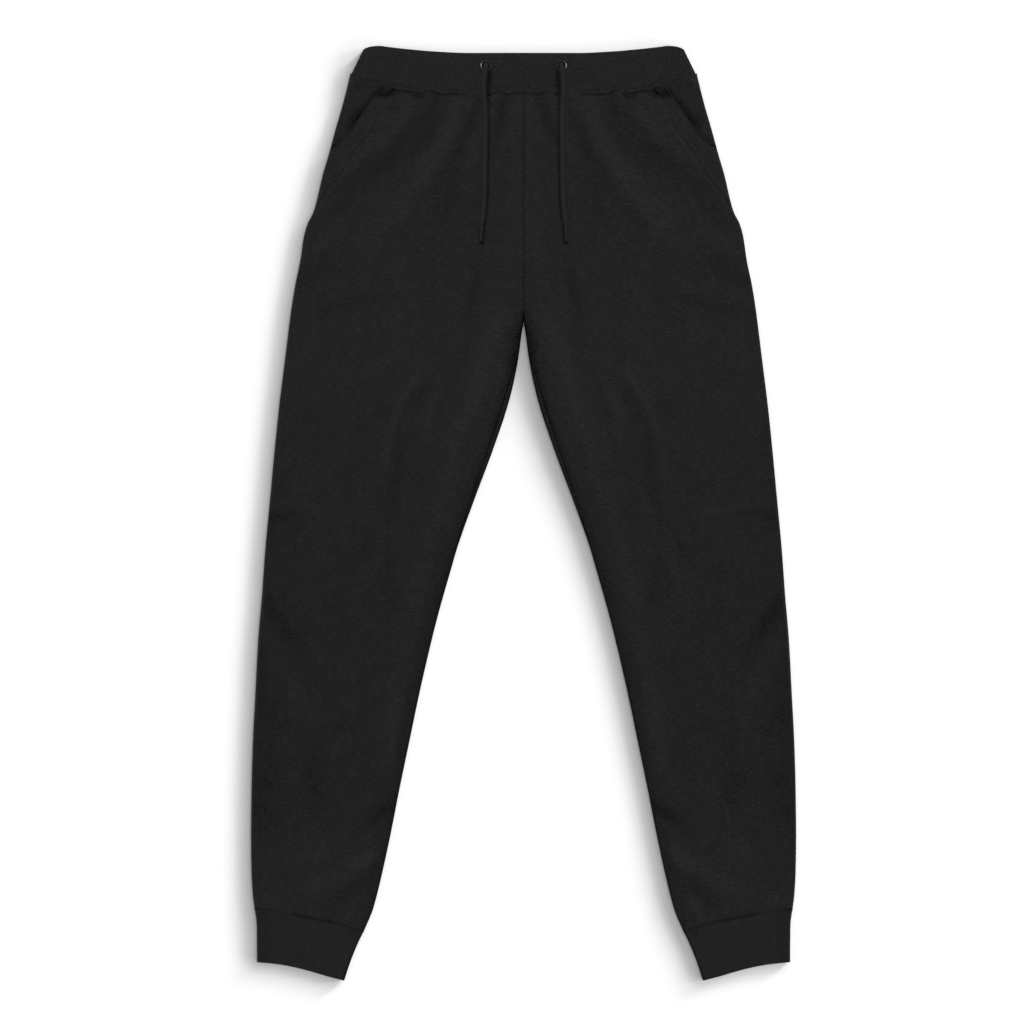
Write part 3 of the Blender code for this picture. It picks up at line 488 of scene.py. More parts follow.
def roll(along, edge, inward, high, wall):
    """A half circle round a leg's edge and the straight cloth past it. along is the distance from its
    outermost point, positive over the top. The radius is half the height, less how deep the face lies."""
    radius = high / 2
    angle = np.clip(along / radius, -np.pi / 2, np.pi / 2)
    straight = np.maximum(np.abs(along) - radius * np.pi / 2, 0)
    across = edge + inward * (radius - (radius - wall) * np.cos(angle) + straight)
    return across, radius + (radius - wall) * np.sin(angle)


def along_roll(inset, high):
    """Distance along the roll to a place this far in from the edge: the circle's arc, then the straight."""
    radius = high / 2
    turned = radius * np.arccos(1 - np.minimum(inset / radius, 1))
    return turned + np.maximum(inset - radius, 0)


def off_roll(along, high):
    """0 on the upper quarter of the roll, easing to 1 over the last fifth of its way."""
    return ease((along / (high * np.pi / 4) - 0.8) / 0.2)


def crotch_turn(down):
    """0 where the two halves are joined, easing to 1 where the inner edge is rolled."""
    return ease((down - CROTCH_DOWN + CROTCH_TURN) / CROTCH_TURN)


def spread(x, density, count):
    """Places along x, the closer the greater the density: its running sum is cut into equal parts."""
    total = np.cumsum(density)
    return np.interp(np.linspace(total[0], total[-1], count), total, x)[:, None]


def row_shares():
    """Shares of the way down to each row of a leg, whose spacing follows ROW_STEPS."""
    down = np.linspace(*ROW_STEPS["down"][[0, -1]], 3000)
    density = (down[1] - down[0]) / np.interp(down, *ROW_STEPS.values())
    rows = spread(down, density, int(density.sum()))
    return (rows - rows[0]) / (rows[-1] - rows[0])


def row_down(share, top, bottom):
    """Rows that run evenly down to bottom, the first of them bent to follow top."""
    return ROW_START + (bottom - ROW_START) * share + (top - ROW_START) * (1 - ease(share / TOP_SHARE))


def side_rows(rows, outer_top):
    """How far down the rows' inner and outer ends are."""
    inner_down = row_down(rows, band_seam(0) - UNDER_BAND, cuff_seam(0) + UNDER_CUFF)
    return inner_down, row_down(rows, outer_top - UNDER_BAND, cuff_seam(1) + UNDER_CUFF)


def panel_face(rows, edge, along, high, flat, turn, columns, wall):
    """One face of a leg's panel: how far across and down it is, in columns along its inner roll, which lies
    flat above the crotch, evenly between and along its outer roll, and the height of both rolls."""
    inner, inner_up = roll(along[0], edge[0], 1, high[0], wall)
    inner = inner * turn + (edge[0] + flat) * (1 - turn)
    outer, outer_up = roll(along[1], edge[1], -1, high[1], wall)
    between = inner[:, -1:] + (outer[:, :1] - inner[:, -1:]) * np.linspace(0, 1, columns)[1:-1]
    across = np.concatenate([inner, between, outer], axis=1)
    top, bottom = band_seam(across[0]) - UNDER_BAND, cuff_seam(across[-1]) + UNDER_CUFF
    return across, row_down(rows, top, bottom), inner_up, outer_up


def front_panel():
    """Outer and inner face of a front panel, and its tone. Its side rolls down to the side seam or ends at
    the pocket mouth."""
    rows, shares = row_shares(), np.linspace(0, 1, EDGE_COLUMNS)
    inner_down, outer_down = side_rows(rows, MOUTH_START)
    high = leg("inner_high", inner_down), front_side_high(outer_down)
    edge = inner_edge(inner_down), leg("outer", outer_down)
    turn, at_mouth = crotch_turn(inner_down), outer_down < MOUTH_END
    inset = np.maximum(edge[1] - pocket_mouth(outer_down), 0) * at_mouth
    first = along_roll(leg("inseam_in", inner_down), high[0]) + CLOSED_GAP / 2
    last = along_roll(np.maximum(inset, leg("side_in", outer_down)), high[1]) + CLOSED_GAP / 2
    inner_along = first + (EDGE_PATH - first) * shares
    outer_along = last + EDGE_PATH**2 / (last + EDGE_PATH) * shares[::-1]
    inner, outer = np.s_[:, :EDGE_COLUMNS], np.s_[:, -EDGE_COLUMNS:]
    faces = []
    for wall in (0, CLOTH):
        across, down, inner_up, outer_up = panel_face(
            rows, edge, (inner_along, outer_along), high, inner_along - first, turn, FRONT_COLUMNS, wall
        )
        if wall == 0:
            level, tone = front_level(across, down), front_painted_light(across, down)
        up = level - wall
        flat = off_roll(inner_along, high[0])
        up[inner] = (inner_up * (1 - flat) + up[inner] * flat) * turn + up[inner] * (1 - turn)
        flat = off_roll(outer_along, high[1])
        up[outer] = outer_up * (1 - flat) + up[outer] * flat
        if wall == 0:
            rim = np.where(at_mouth, rounded(outer_along - last, 1.0 * MM), 0)
            up[inner] -= turn * seam_line(inner_along - first, 1.0 * MM, 0.35 * MM)
            up[outer] -= np.where(rim > 0, rim, seam_line(outer_along - last, 1.0 * MM, 0.25 * MM))
            # Painted shade along the inseam and the side seam.
            tone[inner] -= turn * 0.4 * bell(inner_along - first, 1.2 * MM)
            tone[outer] -= np.where(at_mouth, 0, 0.15 * bell(outer_along - last, 1.1 * MM))
        faces.append(places(across, down, up))
    return faces, tone


def back_panel():
    """Outer and inner face of a back panel, and its tone: flat underneath, and rolled up at its edges."""
    rows, shares = row_shares()[::2], np.linspace(0, 1, EDGE_COLUMNS)
    inner_down, outer_down = side_rows(rows, band_seam(1))
    high = leg("inner_high", inner_down), leg("outer_high", outer_down)
    edge = inner_edge(inner_down), leg("outer", outer_down)
    turn = crotch_turn(inner_down)
    first = along_roll(leg("inseam_in", inner_down), high[0]) - CLOSED_GAP / 2
    last = along_roll(leg("side_in", outer_down), high[1]) - CLOSED_GAP / 2
    inner_along = first - (first + high[0] * np.pi / 4) * shares
    outer_along = (last - (last + high[1] * np.pi / 4) * shares)[:, ::-1]
    inner, outer = np.s_[:, :EDGE_COLUMNS], np.s_[:, -EDGE_COLUMNS:]
    faces = []
    for wall in (0, CLOTH):
        across, down, inner_up, outer_up = panel_face(
            rows, edge, (inner_along, outer_along), high, high[0] / 2 * shares, turn, BACK_COLUMNS, wall
        )
        up = np.full_like(across, wall)
        up[inner], up[outer] = inner_up * turn + wall * (1 - turn), outer_up
        if wall == 0:
            # Painted shade along the centre seam, on the rolled inner edge and along the side seam.
            tone = -0.4 * bell(across, 1.0 * MM) * (1 - turn)
            tone[inner] -= turn * (0.12 + 0.35 * bell(inner_along - first, 1.2 * MM))
            tone[outer] -= 0.15 * bell(outer_along - last, 1.1 * MM)
            up[inner] -= turn * seam_line(inner_along - first, 1.0 * MM, 0.3 * MM)
            up[outer] -= seam_line(outer_along - last, 1.0 * MM, 0.2 * MM)
            crease = np.maximum(-ripple(across, down, 21, 0.11, 0.30 * MM), 0)
            crease *= 1 - np.abs(2 * up / high[0] - 1)
            up = np.maximum(up + crease * (up < 0.5 * MM), 0)
        faces.append(places(across, down, up))
    return faces, tone


def pocket_facing():
    """Outer and inner face of a pocket facing, and its tone: flat, its side rolled to the side seam."""
    share = np.linspace(0, 1, 61)[:, None]
    outer_top, inner_top = band_seam(1) - UNDER_BAND, MOUTH_START - UNDER_BAND
    outer_down = outer_top + (FACING_END - outer_top) * share
    inner_down = inner_top + (FACING_END - inner_top) * share
    high = leg("outer_high", outer_down)
    outer_along = CLOSED_GAP + EDGE_PATH / 2 * np.linspace(1, 0, EDGE_COLUMNS)
    start = pocket_mouth(inner_down) - FACING_UNDER
    faces = []
    for wall in (0, CLOTH):
        outer_across, outer_up = roll(outer_along, leg("outer", outer_down), -1, high, wall)
        between = start + (outer_across[:, :1] - start) * np.linspace(0, 1, 41)[:-1]
        across = np.concatenate([between, outer_across], axis=1)
        top = band_seam(across[0]) - UNDER_BAND
        down = top + (FACING_END - top) * share
        up = np.concatenate([high - wall + 0 * between, outer_up], axis=1)
        off_side = ease((leg("outer", down) - across) / (8 * MM))
        off_band = down - band_seam(across)
        wave = ripple(across, down, 31, 0.05, 0.22 * MM)
        wave += 2.7 * MM * bell(off_band, 9 * MM) - 0.7 * MM * seam_sharp(across) * bell(off_band, 3 * MM)
        up += wave * off_side
        faces.append(places(across, down, up))
    across, down = faces[0][..., 0], faces[0][..., 1]
    off_mouth = (across - pocket_mouth(down)) * MOUTH_SLANT
    wide, dark = (curve(MOUTH_SHADOW, column, down) for column in ("wide", "dark"))
    # Painted shadow beside the open pocket mouth, and painted shade at the side edge, along the waistband's
    # seam and in two small patches.
    tone = -dark * (1 - ease(off_mouth / wide)) - 0.3 * bell(leg("outer", down) - across, 1.0 * MM)
    tone -= 0.5 * seam_sharp(across) * bell(down - band_seam(across), 1.5 * MM)
    for at_across, at_down, wide, long, dark in FACING_SHADE_PATCHES:
        tone -= dark * bell(across - at_across * MM, wide * MM) * bell(down - at_down * MM, long * MM)
    return faces, tone


def band_down(position, share):
    """Down to a place on the waistband, straight between its top edge and its seam."""
    top = curve(BAND_TOP, "down", np.abs(position) * BAND_TOP_HALF)
    return top + (band_seam(np.abs(position) * BAND_SEAM_HALF) - top) * share


def gathered_rows(count, dense_at, dense_width):
    """Shares 0 to 1 that lie three times as close at both ends and round dense_at."""
    x = np.linspace(0, 1, 2000)
    dense = bell(x, 0.06) + bell(x - 1, 0.06) + bell(x - dense_at, dense_width)
    return spread(x, 1 + 2 * dense, count)


def flat_loop(half, high, end, counts, wall):
    """Columns of a flattened loop, over the front to the place end, round the far side, back underneath and
    round the near side: position, -1 to 1 across the width, and height. Each side is a half circle, less how
    deep in the wall the face is."""
    front, back = (np.linspace(-end, end, count) * np.ones_like(high) for count in counts)
    side = (half - high / 2 + (high / 2 - wall) * np.cos(HALF_TURN)) / half
    side_up = high / 2 + (high / 2 - wall) * np.sin(HALF_TURN)
    position = np.concatenate([front, side[:, ::-1], -back, -side], axis=1)
    up = np.concatenate([high - wall + 0 * front, side_up[:, ::-1], wall + 0 * back, side_up], axis=1)
    return position, up


def waistband():
    """Outer and inner face of the waistband's loop, and its tone: rounded edges, a row of stitching along the
    lower one, and the cloth pressed in under the eyelets."""
    share = gathered_rows(42, 0.29, 0.10)
    high = curve(BAND_PROFILE, "high", share)
    half = BAND_TOP_HALF + (BAND_SEAM_HALF - BAND_TOP_HALF) * share
    end = 1 - (high[-1, 0] / 2 + 0.2 * MM) / BAND_SEAM_HALF
    faces = []
    for wall in (0, BAND_CLOTH):
        position, up = flat_loop(half, high, end, BAND_COLUMNS, wall)
        down = band_down(position, share)
        across = position * half
        if wall == 0:
            seam, top = band_down(position, 1) - down, down - band_down(position, 0)
            on_top, underneath = ease((up - 4 * MM) / (2 * MM)), ease((4 * MM - up) / (2 * MM))
            sharp, lip = seam_sharp(across), curve(WAIST_LIP, "strong", np.abs(across))
            hole = np.hypot(np.abs(across) - EYELET_ACROSS, down - EYELET_DOWN)
            in_well = ease((EYELET_WELL - hole) / (0.8 * MM))
            fall = rounded(seam, 1.5 * MM) * (0.4 + 0.6 * sharp) + rounded(top, 1.4 * MM)
            wave = ripple(across, down * 0.25, 41, 0.045, 0.20 * MM)
            wave -= seam_line(seam - 4.0 * MM, 1.1 * MM, 1 * MM) * lip
            pinch = 0.5 * MM * bell(hole, 8 * MM) + 2.0 * MM * in_well
            lifted = np.maximum(wave, 0) * ease(up / (1 * MM))
            up += on_top * (wave - fall - pinch) + underneath * (fall + lifted)
            # Painted shade along the seam, the top edge and the row of stitching, round each eyelet and in
            # its well, and the cord's shadow painted beside it; painted light over the whole band, more at
            # its ends.
            tone = -0.3 * sharp * bell(seam, 0.9 * MM) - 0.2 * bell(top, 0.8 * MM)
            tone -= 0.28 * lip * bell(seam - 4.6 * MM, 1.2 * MM)
            tone -= 0.25 * bell(hole - EYELET_RADIUS, 0.9 * MM) + 0.2 * in_well
            painted_cord_shadow = bell(np.abs(across) - BESIDE_CORD, 2.3 * MM) * ease((down - 25 * MM) / (4 * MM))
            tone += 0.04 - 0.55 * painted_cord_shadow + 0.09 * bell(BAND_SEAM_HALF - np.abs(across), 14 * MM)
            tone *= np.maximum(on_top, 0.4)
        faces.append(places(across, down, up))
    return faces, tone


def cuff():
    """Outer and inner face of a cuff's loop, and its tone: rounded edges, and ribs that are a cosine of the
    distance round it."""
    share = gathered_rows(30, 0.04, 0.05)
    inner, outer = (curve(CUFF_SIDES, side, share) for side in ("inner", "outer"))
    half, high = (outer - inner) / 2, CUFF_HIGH * np.ones_like(share)
    faces = []
    for wall in (0, CUFF_CLOTH):
        position, up = flat_loop(half, high, 1 - CUFF_HIGH / 2 / half[0, 0], CUFF_COLUMNS, wall)
        across = inner + half * (1 + position)
        top, hem = cuff_seam(across[0]), curve(CUFF_HEM, "down", across[-1])
        down = top + (hem - top) * share
        if wall == 0:
            on_top, underneath = ease((up - 3 * MM) / (2 * MM)), ease((3 * MM - up) / (2 * MM))
            rib = 0.5 + 0.5 * np.cos(2 * np.pi * (1 + position) * half[0, 0] / RIB_PITCH)
            fall = rounded(down - top, 1.3 * MM) + rounded(hem - down, 1.3 * MM)
            wave = ripple(across, down, 51, 0.040, 0.20 * MM)
            up += on_top * (wave - fall - 0.10 * MM * rib) + underneath * (fall + 0.08 * MM * rib)
            # Painted shade along the seam, in the ribs' grooves, along the hem, at the outer end and in one
            # patch.
            tone = 0.4 * cuff_sharp(across) * bell(down - top, 1.3 * MM) + 0.04 * rib
            tone += 0.15 * bell(hem - down, 0.8 * MM) + 0.15 * bell(across - 300 * MM, 14 * MM)
            tone += 0.3 * bell(across - 190.5 * MM, 5 * MM) * bell(down - 992 * MM, 6 * MM)
            tone = -tone * on_top
        faces.append(places(across, down, up))
    return faces, tone


# ---- meshes ----


def world(points, side):
    """World places of points given as across, down and up, on the wearer's left (1) or right (-1)."""
    return places(side * points[..., 0], LENGTH / 2 - points[..., 1], points[..., 2])


def round_angles(count):
    """This many angles, evenly round a circle."""
    return np.linspace(0, 2 * np.pi, count, endpoint=False)


def reach_along(points):
    """How far along a line each of its points is: the running sum of the steps between them."""
    return np.concatenate([[0], np.cumsum(np.linalg.norm(np.diff(points, axis=0), axis=1))])


def quads(grid):
    """The four corners of each cell of a grid of point numbers."""
    return np.stack([grid[:-1, :-1], grid[1:, :-1], grid[1:, 1:], grid[:-1, 1:]], axis=-1).reshape(-1, 4)


def ring_cells(rings, count):
    """Quads between rings of points, each closed on its own start, and a cap on the first and last ring."""
    number = np.arange(rings * count).reshape(rings, count)
    closed = np.concatenate([number, number[:, :1]], axis=1)
    return quads(closed), [number[0], number[-1][::-1]]


def outward(points, faces, caps):
    """The faces and caps, all turned round if the volume that the faces close comes out negative."""
    corners = points[faces] - points.mean(axis=0)
    volume = np.einsum("ij,ij->", corners[:, 0], np.cross(corners[:, 1], corners[:, 2]))
    volume += np.einsum("ij,ij->", corners[:, 0], np.cross(corners[:, 2], corners[:, 3]))
    if volume > 0:
        return faces, caps
    return faces[:, ::-1], [cap[::-1] for cap in caps]


def new_object(name, data):
    """An object in the scene, at its origin."""
    thing = bpy.data.objects.new(name, data)
    bpy.context.scene.collection.objects.link(thing)
    return thing


def add_piece(name, points, faces, material, nodes=(), tone=None, uv=None, caps=()):
    """A mesh piece on the root body, shaded smooth, with a tone and a UV place for each of its points."""
    points = points.reshape(-1, 3)
    faces, caps = outward(points, faces, list(caps))
    mesh = bpy.data.meshes.new(name)
    mesh.from_pydata(points.tolist(), [], faces.tolist() + [cap.tolist() for cap in caps])
    # The tone attribute holds the light and shade painted into the piece's colour, and on a cord tip its dark
    # plug.
    if tone is not None:
        values = mesh.attributes.new("tone", "FLOAT", "POINT").data
        values.foreach_set("value", tone.astype(np.float32).ravel())
    if uv is not None:
        corners = np.concatenate([faces.ravel(), *caps])
        mesh.uv_layers.new(name="cloth").data.foreach_set("uv", uv[corners].astype(np.float32).ravel())
    mesh.materials.append(material)
    mesh.shade_smooth()
    mesh.set_sharp_from_angle(angle=np.radians(60))
    piece = new_object(name, mesh)
    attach(piece, "root")
    if nodes:
        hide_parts(*nodes)
    return piece


def add_cloth(name, faces, tone, side, material, loop=False):
    """A sewn piece whose wall fills the space between two grids of points, in place of the solid of its name.
    The UV map holds metres along and down the cloth."""
    rows, columns = faces[0].shape[:2]
    points = np.concatenate([world(face, side).reshape(-1, 3) for face in faces])
    steps = np.linalg.norm(np.diff(faces[0], axis=1), axis=2).mean(axis=0)
    along = np.broadcast_to(np.concatenate([[0], np.cumsum(steps)]), (rows, columns))
    uv = np.stack([along, -faces[0][..., 1]], axis=-1).reshape(-1, 2)
    outer = np.arange(rows * columns).reshape(rows, columns)
    if loop:
        outer = np.concatenate([outer, outer[:, :1]], axis=1)
    inner = outer + rows * columns
    cells = [quads(outer), quads(inner)[:, ::-1]]
    cells += [quads(np.stack([inner[0], outer[0]])), quads(np.stack([outer[-1], inner[-1]]))]
    if not loop:
        cells += [quads(np.stack([outer[:, 0], inner[:, 0]])), quads(np.stack([inner[:, -1], outer[:, -1]]))]
    # Painted shade: the inner face is painted darker.
    tone = np.concatenate([tone.ravel(), np.full(rows * columns, -0.3)])
    both = np.concatenate([uv, uv])
    return add_piece(name + "_cloth", points, np.concatenate(cells), material, [name], tone, both)


def tube(path, radius):
    """Points round a path that runs mostly along Y. Each ring lies square to the path, and radius holds a row
    for each."""
    way = np.gradient(path, axis=0)
    way /= np.linalg.norm(way, axis=1, keepdims=True)
    first = np.array((1.0, 0, 0)) - way * way[:, :1]
    first /= np.linalg.norm(first, axis=1, keepdims=True)
    second = np.cross(way, first)
    angle = round_angles(radius.shape[1])[:, None]
    around = first[:, None] * np.cos(angle) + second[:, None] * np.sin(angle)
    return path[:, None] + around * radius[..., None]


def add_tube(node, kind, grid, material, tone):
    """A closed tube of this kind through a grid of rings, in place of a solid's node."""
    cells, caps = ring_cells(*grid.shape[:2])
    return add_piece(f"{node}_{kind}", grid, cells, material, [node], tone, caps=caps)


# ---- cord, tips, eyelets and thread ----


def cloth_high(across, down):
    """Height of the front's highest point within a cord's half width to both sides."""
    return np.max([front_level(across + step, down) for step in (-1.5 * MM, 0, 1.5 * MM)], axis=0)


def cord_line():
    """Middle of a drawcord: a smooth curve through its route, read evenly. Past the waistband it lies on the
    cloth."""
    across, down, up = (CORD_ROUTE[axis] for axis in ("across", "down", "up"))
    up = np.where(down > CORD_ON_CLOTH, cloth_high(across, down) + CORD / 2 + 0.1 * MM, up)
    route = places(across, down, up)
    reach = reach_along(route)
    stops = np.linspace(0, reach[-1], CORD_RINGS)
    return places(*(smooth(stops, reach, route[:, axis]) for axis in range(3)))


def braid(distance, angle):
    """Height, 0 to 1, of a round braid: strands wind both ways, each a cosine of the angle plus or minus the
    distance along the cord, and the product of both half waves says which lies on top where they cross."""
    turn = 2 * np.pi * distance / BRAID_STEP
    one, other = STRANDS * angle + turn, STRANDS * angle - turn
    on_top = 0.5 + 0.5 * np.cos(one / 2) * np.cos(other / 2)
    strand = np.sqrt(0.5 + 0.5 * np.cos(one)) * (0.55 + 0.45 * on_top)
    return np.maximum(strand, np.sqrt(0.5 + 0.5 * np.cos(other)) * (1 - 0.45 * on_top))


def drawcord(word, side, material):
    """A drawcord's free end, a braided tube drawn in where the tip holds it, and its middle line."""
    line = world(cord_line(), side)
    distance = reach_along(line)[:, None]
    height = braid(distance, round_angles(CORD_SIDES))
    held = 3.5 * MM
    drawn_in = 1 - 0.30 * ease((distance - distance[-1] + held) / held)
    grid = tube(line, CORD / 2 * (0.90 + 0.10 * height) * drawn_in)
    # The tone paints shade between the braid's strands and a faint highlight on their tops.
    return add_tube(f"drawcord_{word}", "braid", grid, material, (height - 0.75) * 0.7), line


def cord_tip(word, side, start, material):
    """A lacquered tube crimped on the cord, with a dark plug in its end: the profile turned on its line."""
    end = world(np.array((*TIP_END, cloth_high(*TIP_END) + TIP / 2)), side)
    way = (end - start) / np.linalg.norm(end - start)
    path = start + way * TIP_RINGS[:, None] * MM
    radius = np.interp(TIP_RINGS * MM, *TIP_PROFILE.values())[:, None] * np.ones(TIP_SIDES)
    grid = tube(path, radius)
    tone = np.repeat(-0.9 * ease((TIP_RINGS - 17.2) / 0.8), TIP_SIDES)
    return add_tube(f"cord_tip_{word}", "tube", grid, material, tone)


def eyelet(word, side, material):
    """A rolled metal ring: the section as a smooth closed curve, turned about the eyelet's middle."""
    count = len(EYELET_SECTION["up"])
    at = np.linspace(count, 2 * count, EYELET_SIDES, endpoint=False)
    turns = [np.tile(EYELET_SECTION[axis], 3) for axis in ("radius", "up")]
    radius, up = (smooth(at, np.arange(3 * count), turn)[:, None] for turn in turns)
    angle = round_angles(EYELET_TURN)
    across = EYELET_ACROSS + radius * np.cos(angle)
    down = EYELET_DOWN + radius * np.sin(angle)
    points = world(places(across, down, BAND_AT_EYELET + up), side)
    number = np.arange(EYELET_SIDES * EYELET_TURN).reshape(EYELET_SIDES, EYELET_TURN)
    cells = quads(np.pad(number, ((0, 1), (0, 1)), mode="wrap"))
    node = f"eyelet_{word}"
    return add_piece(node + "_ring", points, cells, material, [node])


def stitches(name, side, line_across, line_down, material):
    """Stitches of thread along a line on the front: tubes whose middle stands up and whose ends dip, as a
    cosine."""
    reach = np.concatenate([[0], np.cumsum(np.hypot(np.diff(line_across), np.diff(line_down)))])
    count = int(reach[-1] / STITCH)
    share = np.linspace(0.08, 0.92, STITCH_RINGS)
    at = (np.arange(count)[:, None] + share) * STITCH
    across, down = smooth(at, reach, line_across), smooth(at, reach, line_down)
    way = places(np.gradient(across, axis=1), np.gradient(down, axis=1))
    way /= np.linalg.norm(way, axis=-1, keepdims=True)
    arch = np.cos((share - 0.5) * np.pi / (share[-1] - share[0]))
    up = front_level(across, down) - 0.25 * MM + THREAD * arch
    angle = round_angles(STITCH_SIDES)
    radius = THREAD / 2 * (0.35 + 0.65 * np.sqrt(arch.clip(0)))[None, :, None]
    ring_across = across[..., None] + way[..., 1:] * np.cos(angle) * radius
    ring_down = down[..., None] - way[..., :1] * np.cos(angle) * radius
    points = world(places(ring_across, ring_down, up[..., None] + np.sin(angle) * radius), side)
    cells, caps = ring_cells(STITCH_RINGS, STITCH_SIDES)
    shift = np.arange(count) * STITCH_RINGS * STITCH_SIDES
    faces = (cells[None] + shift[:, None, None]).reshape(-1, 4)
    ends = [cap + move for move in shift for cap in caps]
    return add_piece(name, points, faces, material, caps=ends)


# ---- finishes ----

FLEECE_COLOR = (0.0136, 0.0136, 0.0136)
CORD_COLOR = (0.0165, 0.0165, 0.0165)
GUNMETAL_COLOR = (0.110, 0.109, 0.107)
LACQUER_COLOR = (0.0100, 0.0100, 0.0105)
THREAD_COLOR = (0.016, 0.016, 0.0165)
FLOOR_COLOR = (0.90, 0.90, 0.90)


class Flow:
    """A value in a finish's node tree. Sums written on it add the Math nodes that they need."""

    def __init__(self, finish, socket):
        self.finish, self.socket = finish, socket

    def math(self, operation, *values):
        return self.finish.node("ShaderNodeMath", {"operation": operation}, enumerate(values))

    def __add__(self, other):
        return self.math("ADD", self, other)

    def __sub__(self, other):
        return self.math("SUBTRACT", self, other)

    def __rsub__(self, other):
        return self.math("SUBTRACT", other, self)

    def __mul__(self, other):
        return self.math("MULTIPLY", self, other)

    __radd__, __rmul__ = __add__, __mul__

    def sine(self):
        return self.math("SINE", self)


class Finish:
    """A material on its Principled shader, whose constant sockets are set by name."""

    def __init__(self, name, **constants):
        self.material = bpy.data.materials.new(name)
        self.material.use_nodes = True
        self.tree = self.material.node_tree
        self.shader = self.tree.nodes["Principled BSDF"]
        self.feed(self.shader, {key.replace("_", " "): value for key, value in constants.items()})

    def feed(self, node, inputs):
        for key, value in inputs.items():
            if isinstance(value, Flow):
                self.tree.links.new(value.socket, node.inputs[key])
            else:
                node.inputs[key].default_value = value

    def node(self, kind, settings=(), inputs=(), output=0):
        """A node of this kind, its settings first and then the values or links of its sockets."""
        node = self.tree.nodes.new(kind)
        for key, value in dict(settings).items():
            setattr(node, key, value)
        self.feed(node, dict(inputs))
        return Flow(self, node.outputs[output])

    def noise(self, *size, detail=1.0, roughness=0.5):
        """Noise from about -0.5 to 0.5, one swell in each length of size, in millimetres along X, Y and Z."""
        place = self.node("ShaderNodeTexCoord", output="Object")
        scale = tuple(1000 / length for length in size)
        place = self.node("ShaderNodeVectorMath", {"operation": "MULTIPLY"}, {0: place, 1: scale})
        inputs = {"Vector": place, "Scale": 1.0, "Detail": detail, "Roughness": roughness}
        return self.node("ShaderNodeTexNoise", inputs=inputs) - 0.5

    # The light and shade painted into a piece's colour, and a tip's dark plug, from its tone attribute.
    def tone(self):
        return self.node("ShaderNodeAttribute", {"attribute_name": "tone"}, output="Fac")

    def color(self, color, factor):
        """Sets the base colour to a colour times a factor."""
        scaled = self.node("ShaderNodeVectorMath", {"operation": "SCALE"}, {0: color, "Scale": factor})
        self.feed(self.shader, {"Base Color": scaled})

    def bump(self, height, distance):
        bump = self.node("ShaderNodeBump", inputs={"Height": height, "Distance": distance})
        self.feed(self.shader, {"Normal": bump})


def fleece_finish():
    """Heathered fleece: streaks along the knit's courses, flecks of fibre, blotches and a matt nap, with the
    light and shade that the tone attribute paints into its colour.
    """
    finish = Finish("fleece", Roughness=0.95, Specular_IOR_Level=0.12, Sheen_Weight=0.03, Sheen_Roughness=0.5)
    streak = finish.noise(5.5, 1.5, 5.5, detail=2.0, roughness=0.55)
    fleck = finish.noise(1.1, 0.7, 1.1)
    blotch = finish.noise(17, 12, 17)
    finish.color(FLEECE_COLOR, 1 + finish.tone() + streak * 1.5 + fleck * 1.7 + blotch * 0.3)
    nap = streak * 0.5 + fleck * 0.6 + finish.noise(0.45, 0.45, 0.45) * 0.3
    finish.bump(nap, 0.5 * MM)
    return finish.material


def rib_finish(name, uneven):
    """Elastic ribbed knit: ribs that are a sine of the UV map's distance along the cloth, painted a little
    lighter on their crests, a mottle of its yarn, uneven times as strong, and the light and shade painted by
    the tone."""
    finish = Finish(name, Roughness=0.92, Specular_IOR_Level=0.12, Sheen_Weight=0.02, Sheen_Roughness=0.5)
    uv = finish.node("ShaderNodeUVMap", {"uv_map": "cloth"})
    rib = (finish.node("ShaderNodeSeparateXYZ", inputs={0: uv}) * (2 * np.pi / RIB_PITCH)).sine()
    mottle = finish.noise(3, 3, 3, detail=2.0)
    fleck = finish.noise(0.9, 1.6, 0.9)
    finish.color(FLEECE_COLOR, 1 + finish.tone() + rib * 0.04 + (mottle * 1.2 + fleck * 1.4) * uneven)
    finish.bump(rib * 0.25 + (fleck * 0.8 + mottle * 0.4) * uneven, 0.35 * MM)
    return finish.material


def cord_finish():
    """Cotton braid, painted darker between its strands and a little lighter on them, with the fibres' own
    mottle.
    """
    finish = Finish("cord", Roughness=0.85, Specular_IOR_Level=0.18, Sheen_Weight=0.03, Sheen_Roughness=0.5)
    fibre = finish.noise(0.5, 0.8, 0.5, detail=2.0)
    finish.color(CORD_COLOR, 1 + finish.tone() + fibre * 0.6)
    finish.bump(fibre, 0.25 * MM)
    return finish.material


def eyelet_finish():
    """Gunmetal, brushed and a little dulled in patches."""
    finish = Finish("eyelet metal", Metallic=1.0)
    patch = finish.noise(2, 2, 2, detail=3.0)
    brushed = finish.noise(0.25, 0.9, 0.9)
    finish.color(GUNMETAL_COLOR, 1 + patch * 0.4)
    finish.feed(finish.shader, {"Roughness": 0.32 + patch * 0.25})
    finish.bump(brushed, 0.02 * MM)
    return finish.material


def tip_finish():
    """Black lacquer, scuffed in places, and dull where the plug closes the tube."""
    finish = Finish("cord tip", Specular_IOR_Level=0.16)
    scuff = finish.noise(1.2, 3, 1.2, detail=3.0)
    finish.color(LACQUER_COLOR, 1 + finish.tone() + scuff * 0.3)
    finish.feed(finish.shader, {"Roughness": 0.45 - finish.tone() * 0.4 + scuff * 0.2})
    finish.bump(scuff, 0.03 * MM)
    return finish.material


def thread_finish():
    """Matt sewing thread, its fibres lighter and darker."""
    finish = Finish("thread", Roughness=0.6, Specular_IOR_Level=0.3)
    fibre = finish.noise(0.3, 0.3, 0.3)
    finish.color(THREAD_COLOR, 1 + fibre * 0.5)
    finish.bump(fibre, 0.08 * MM)
    return finish.material


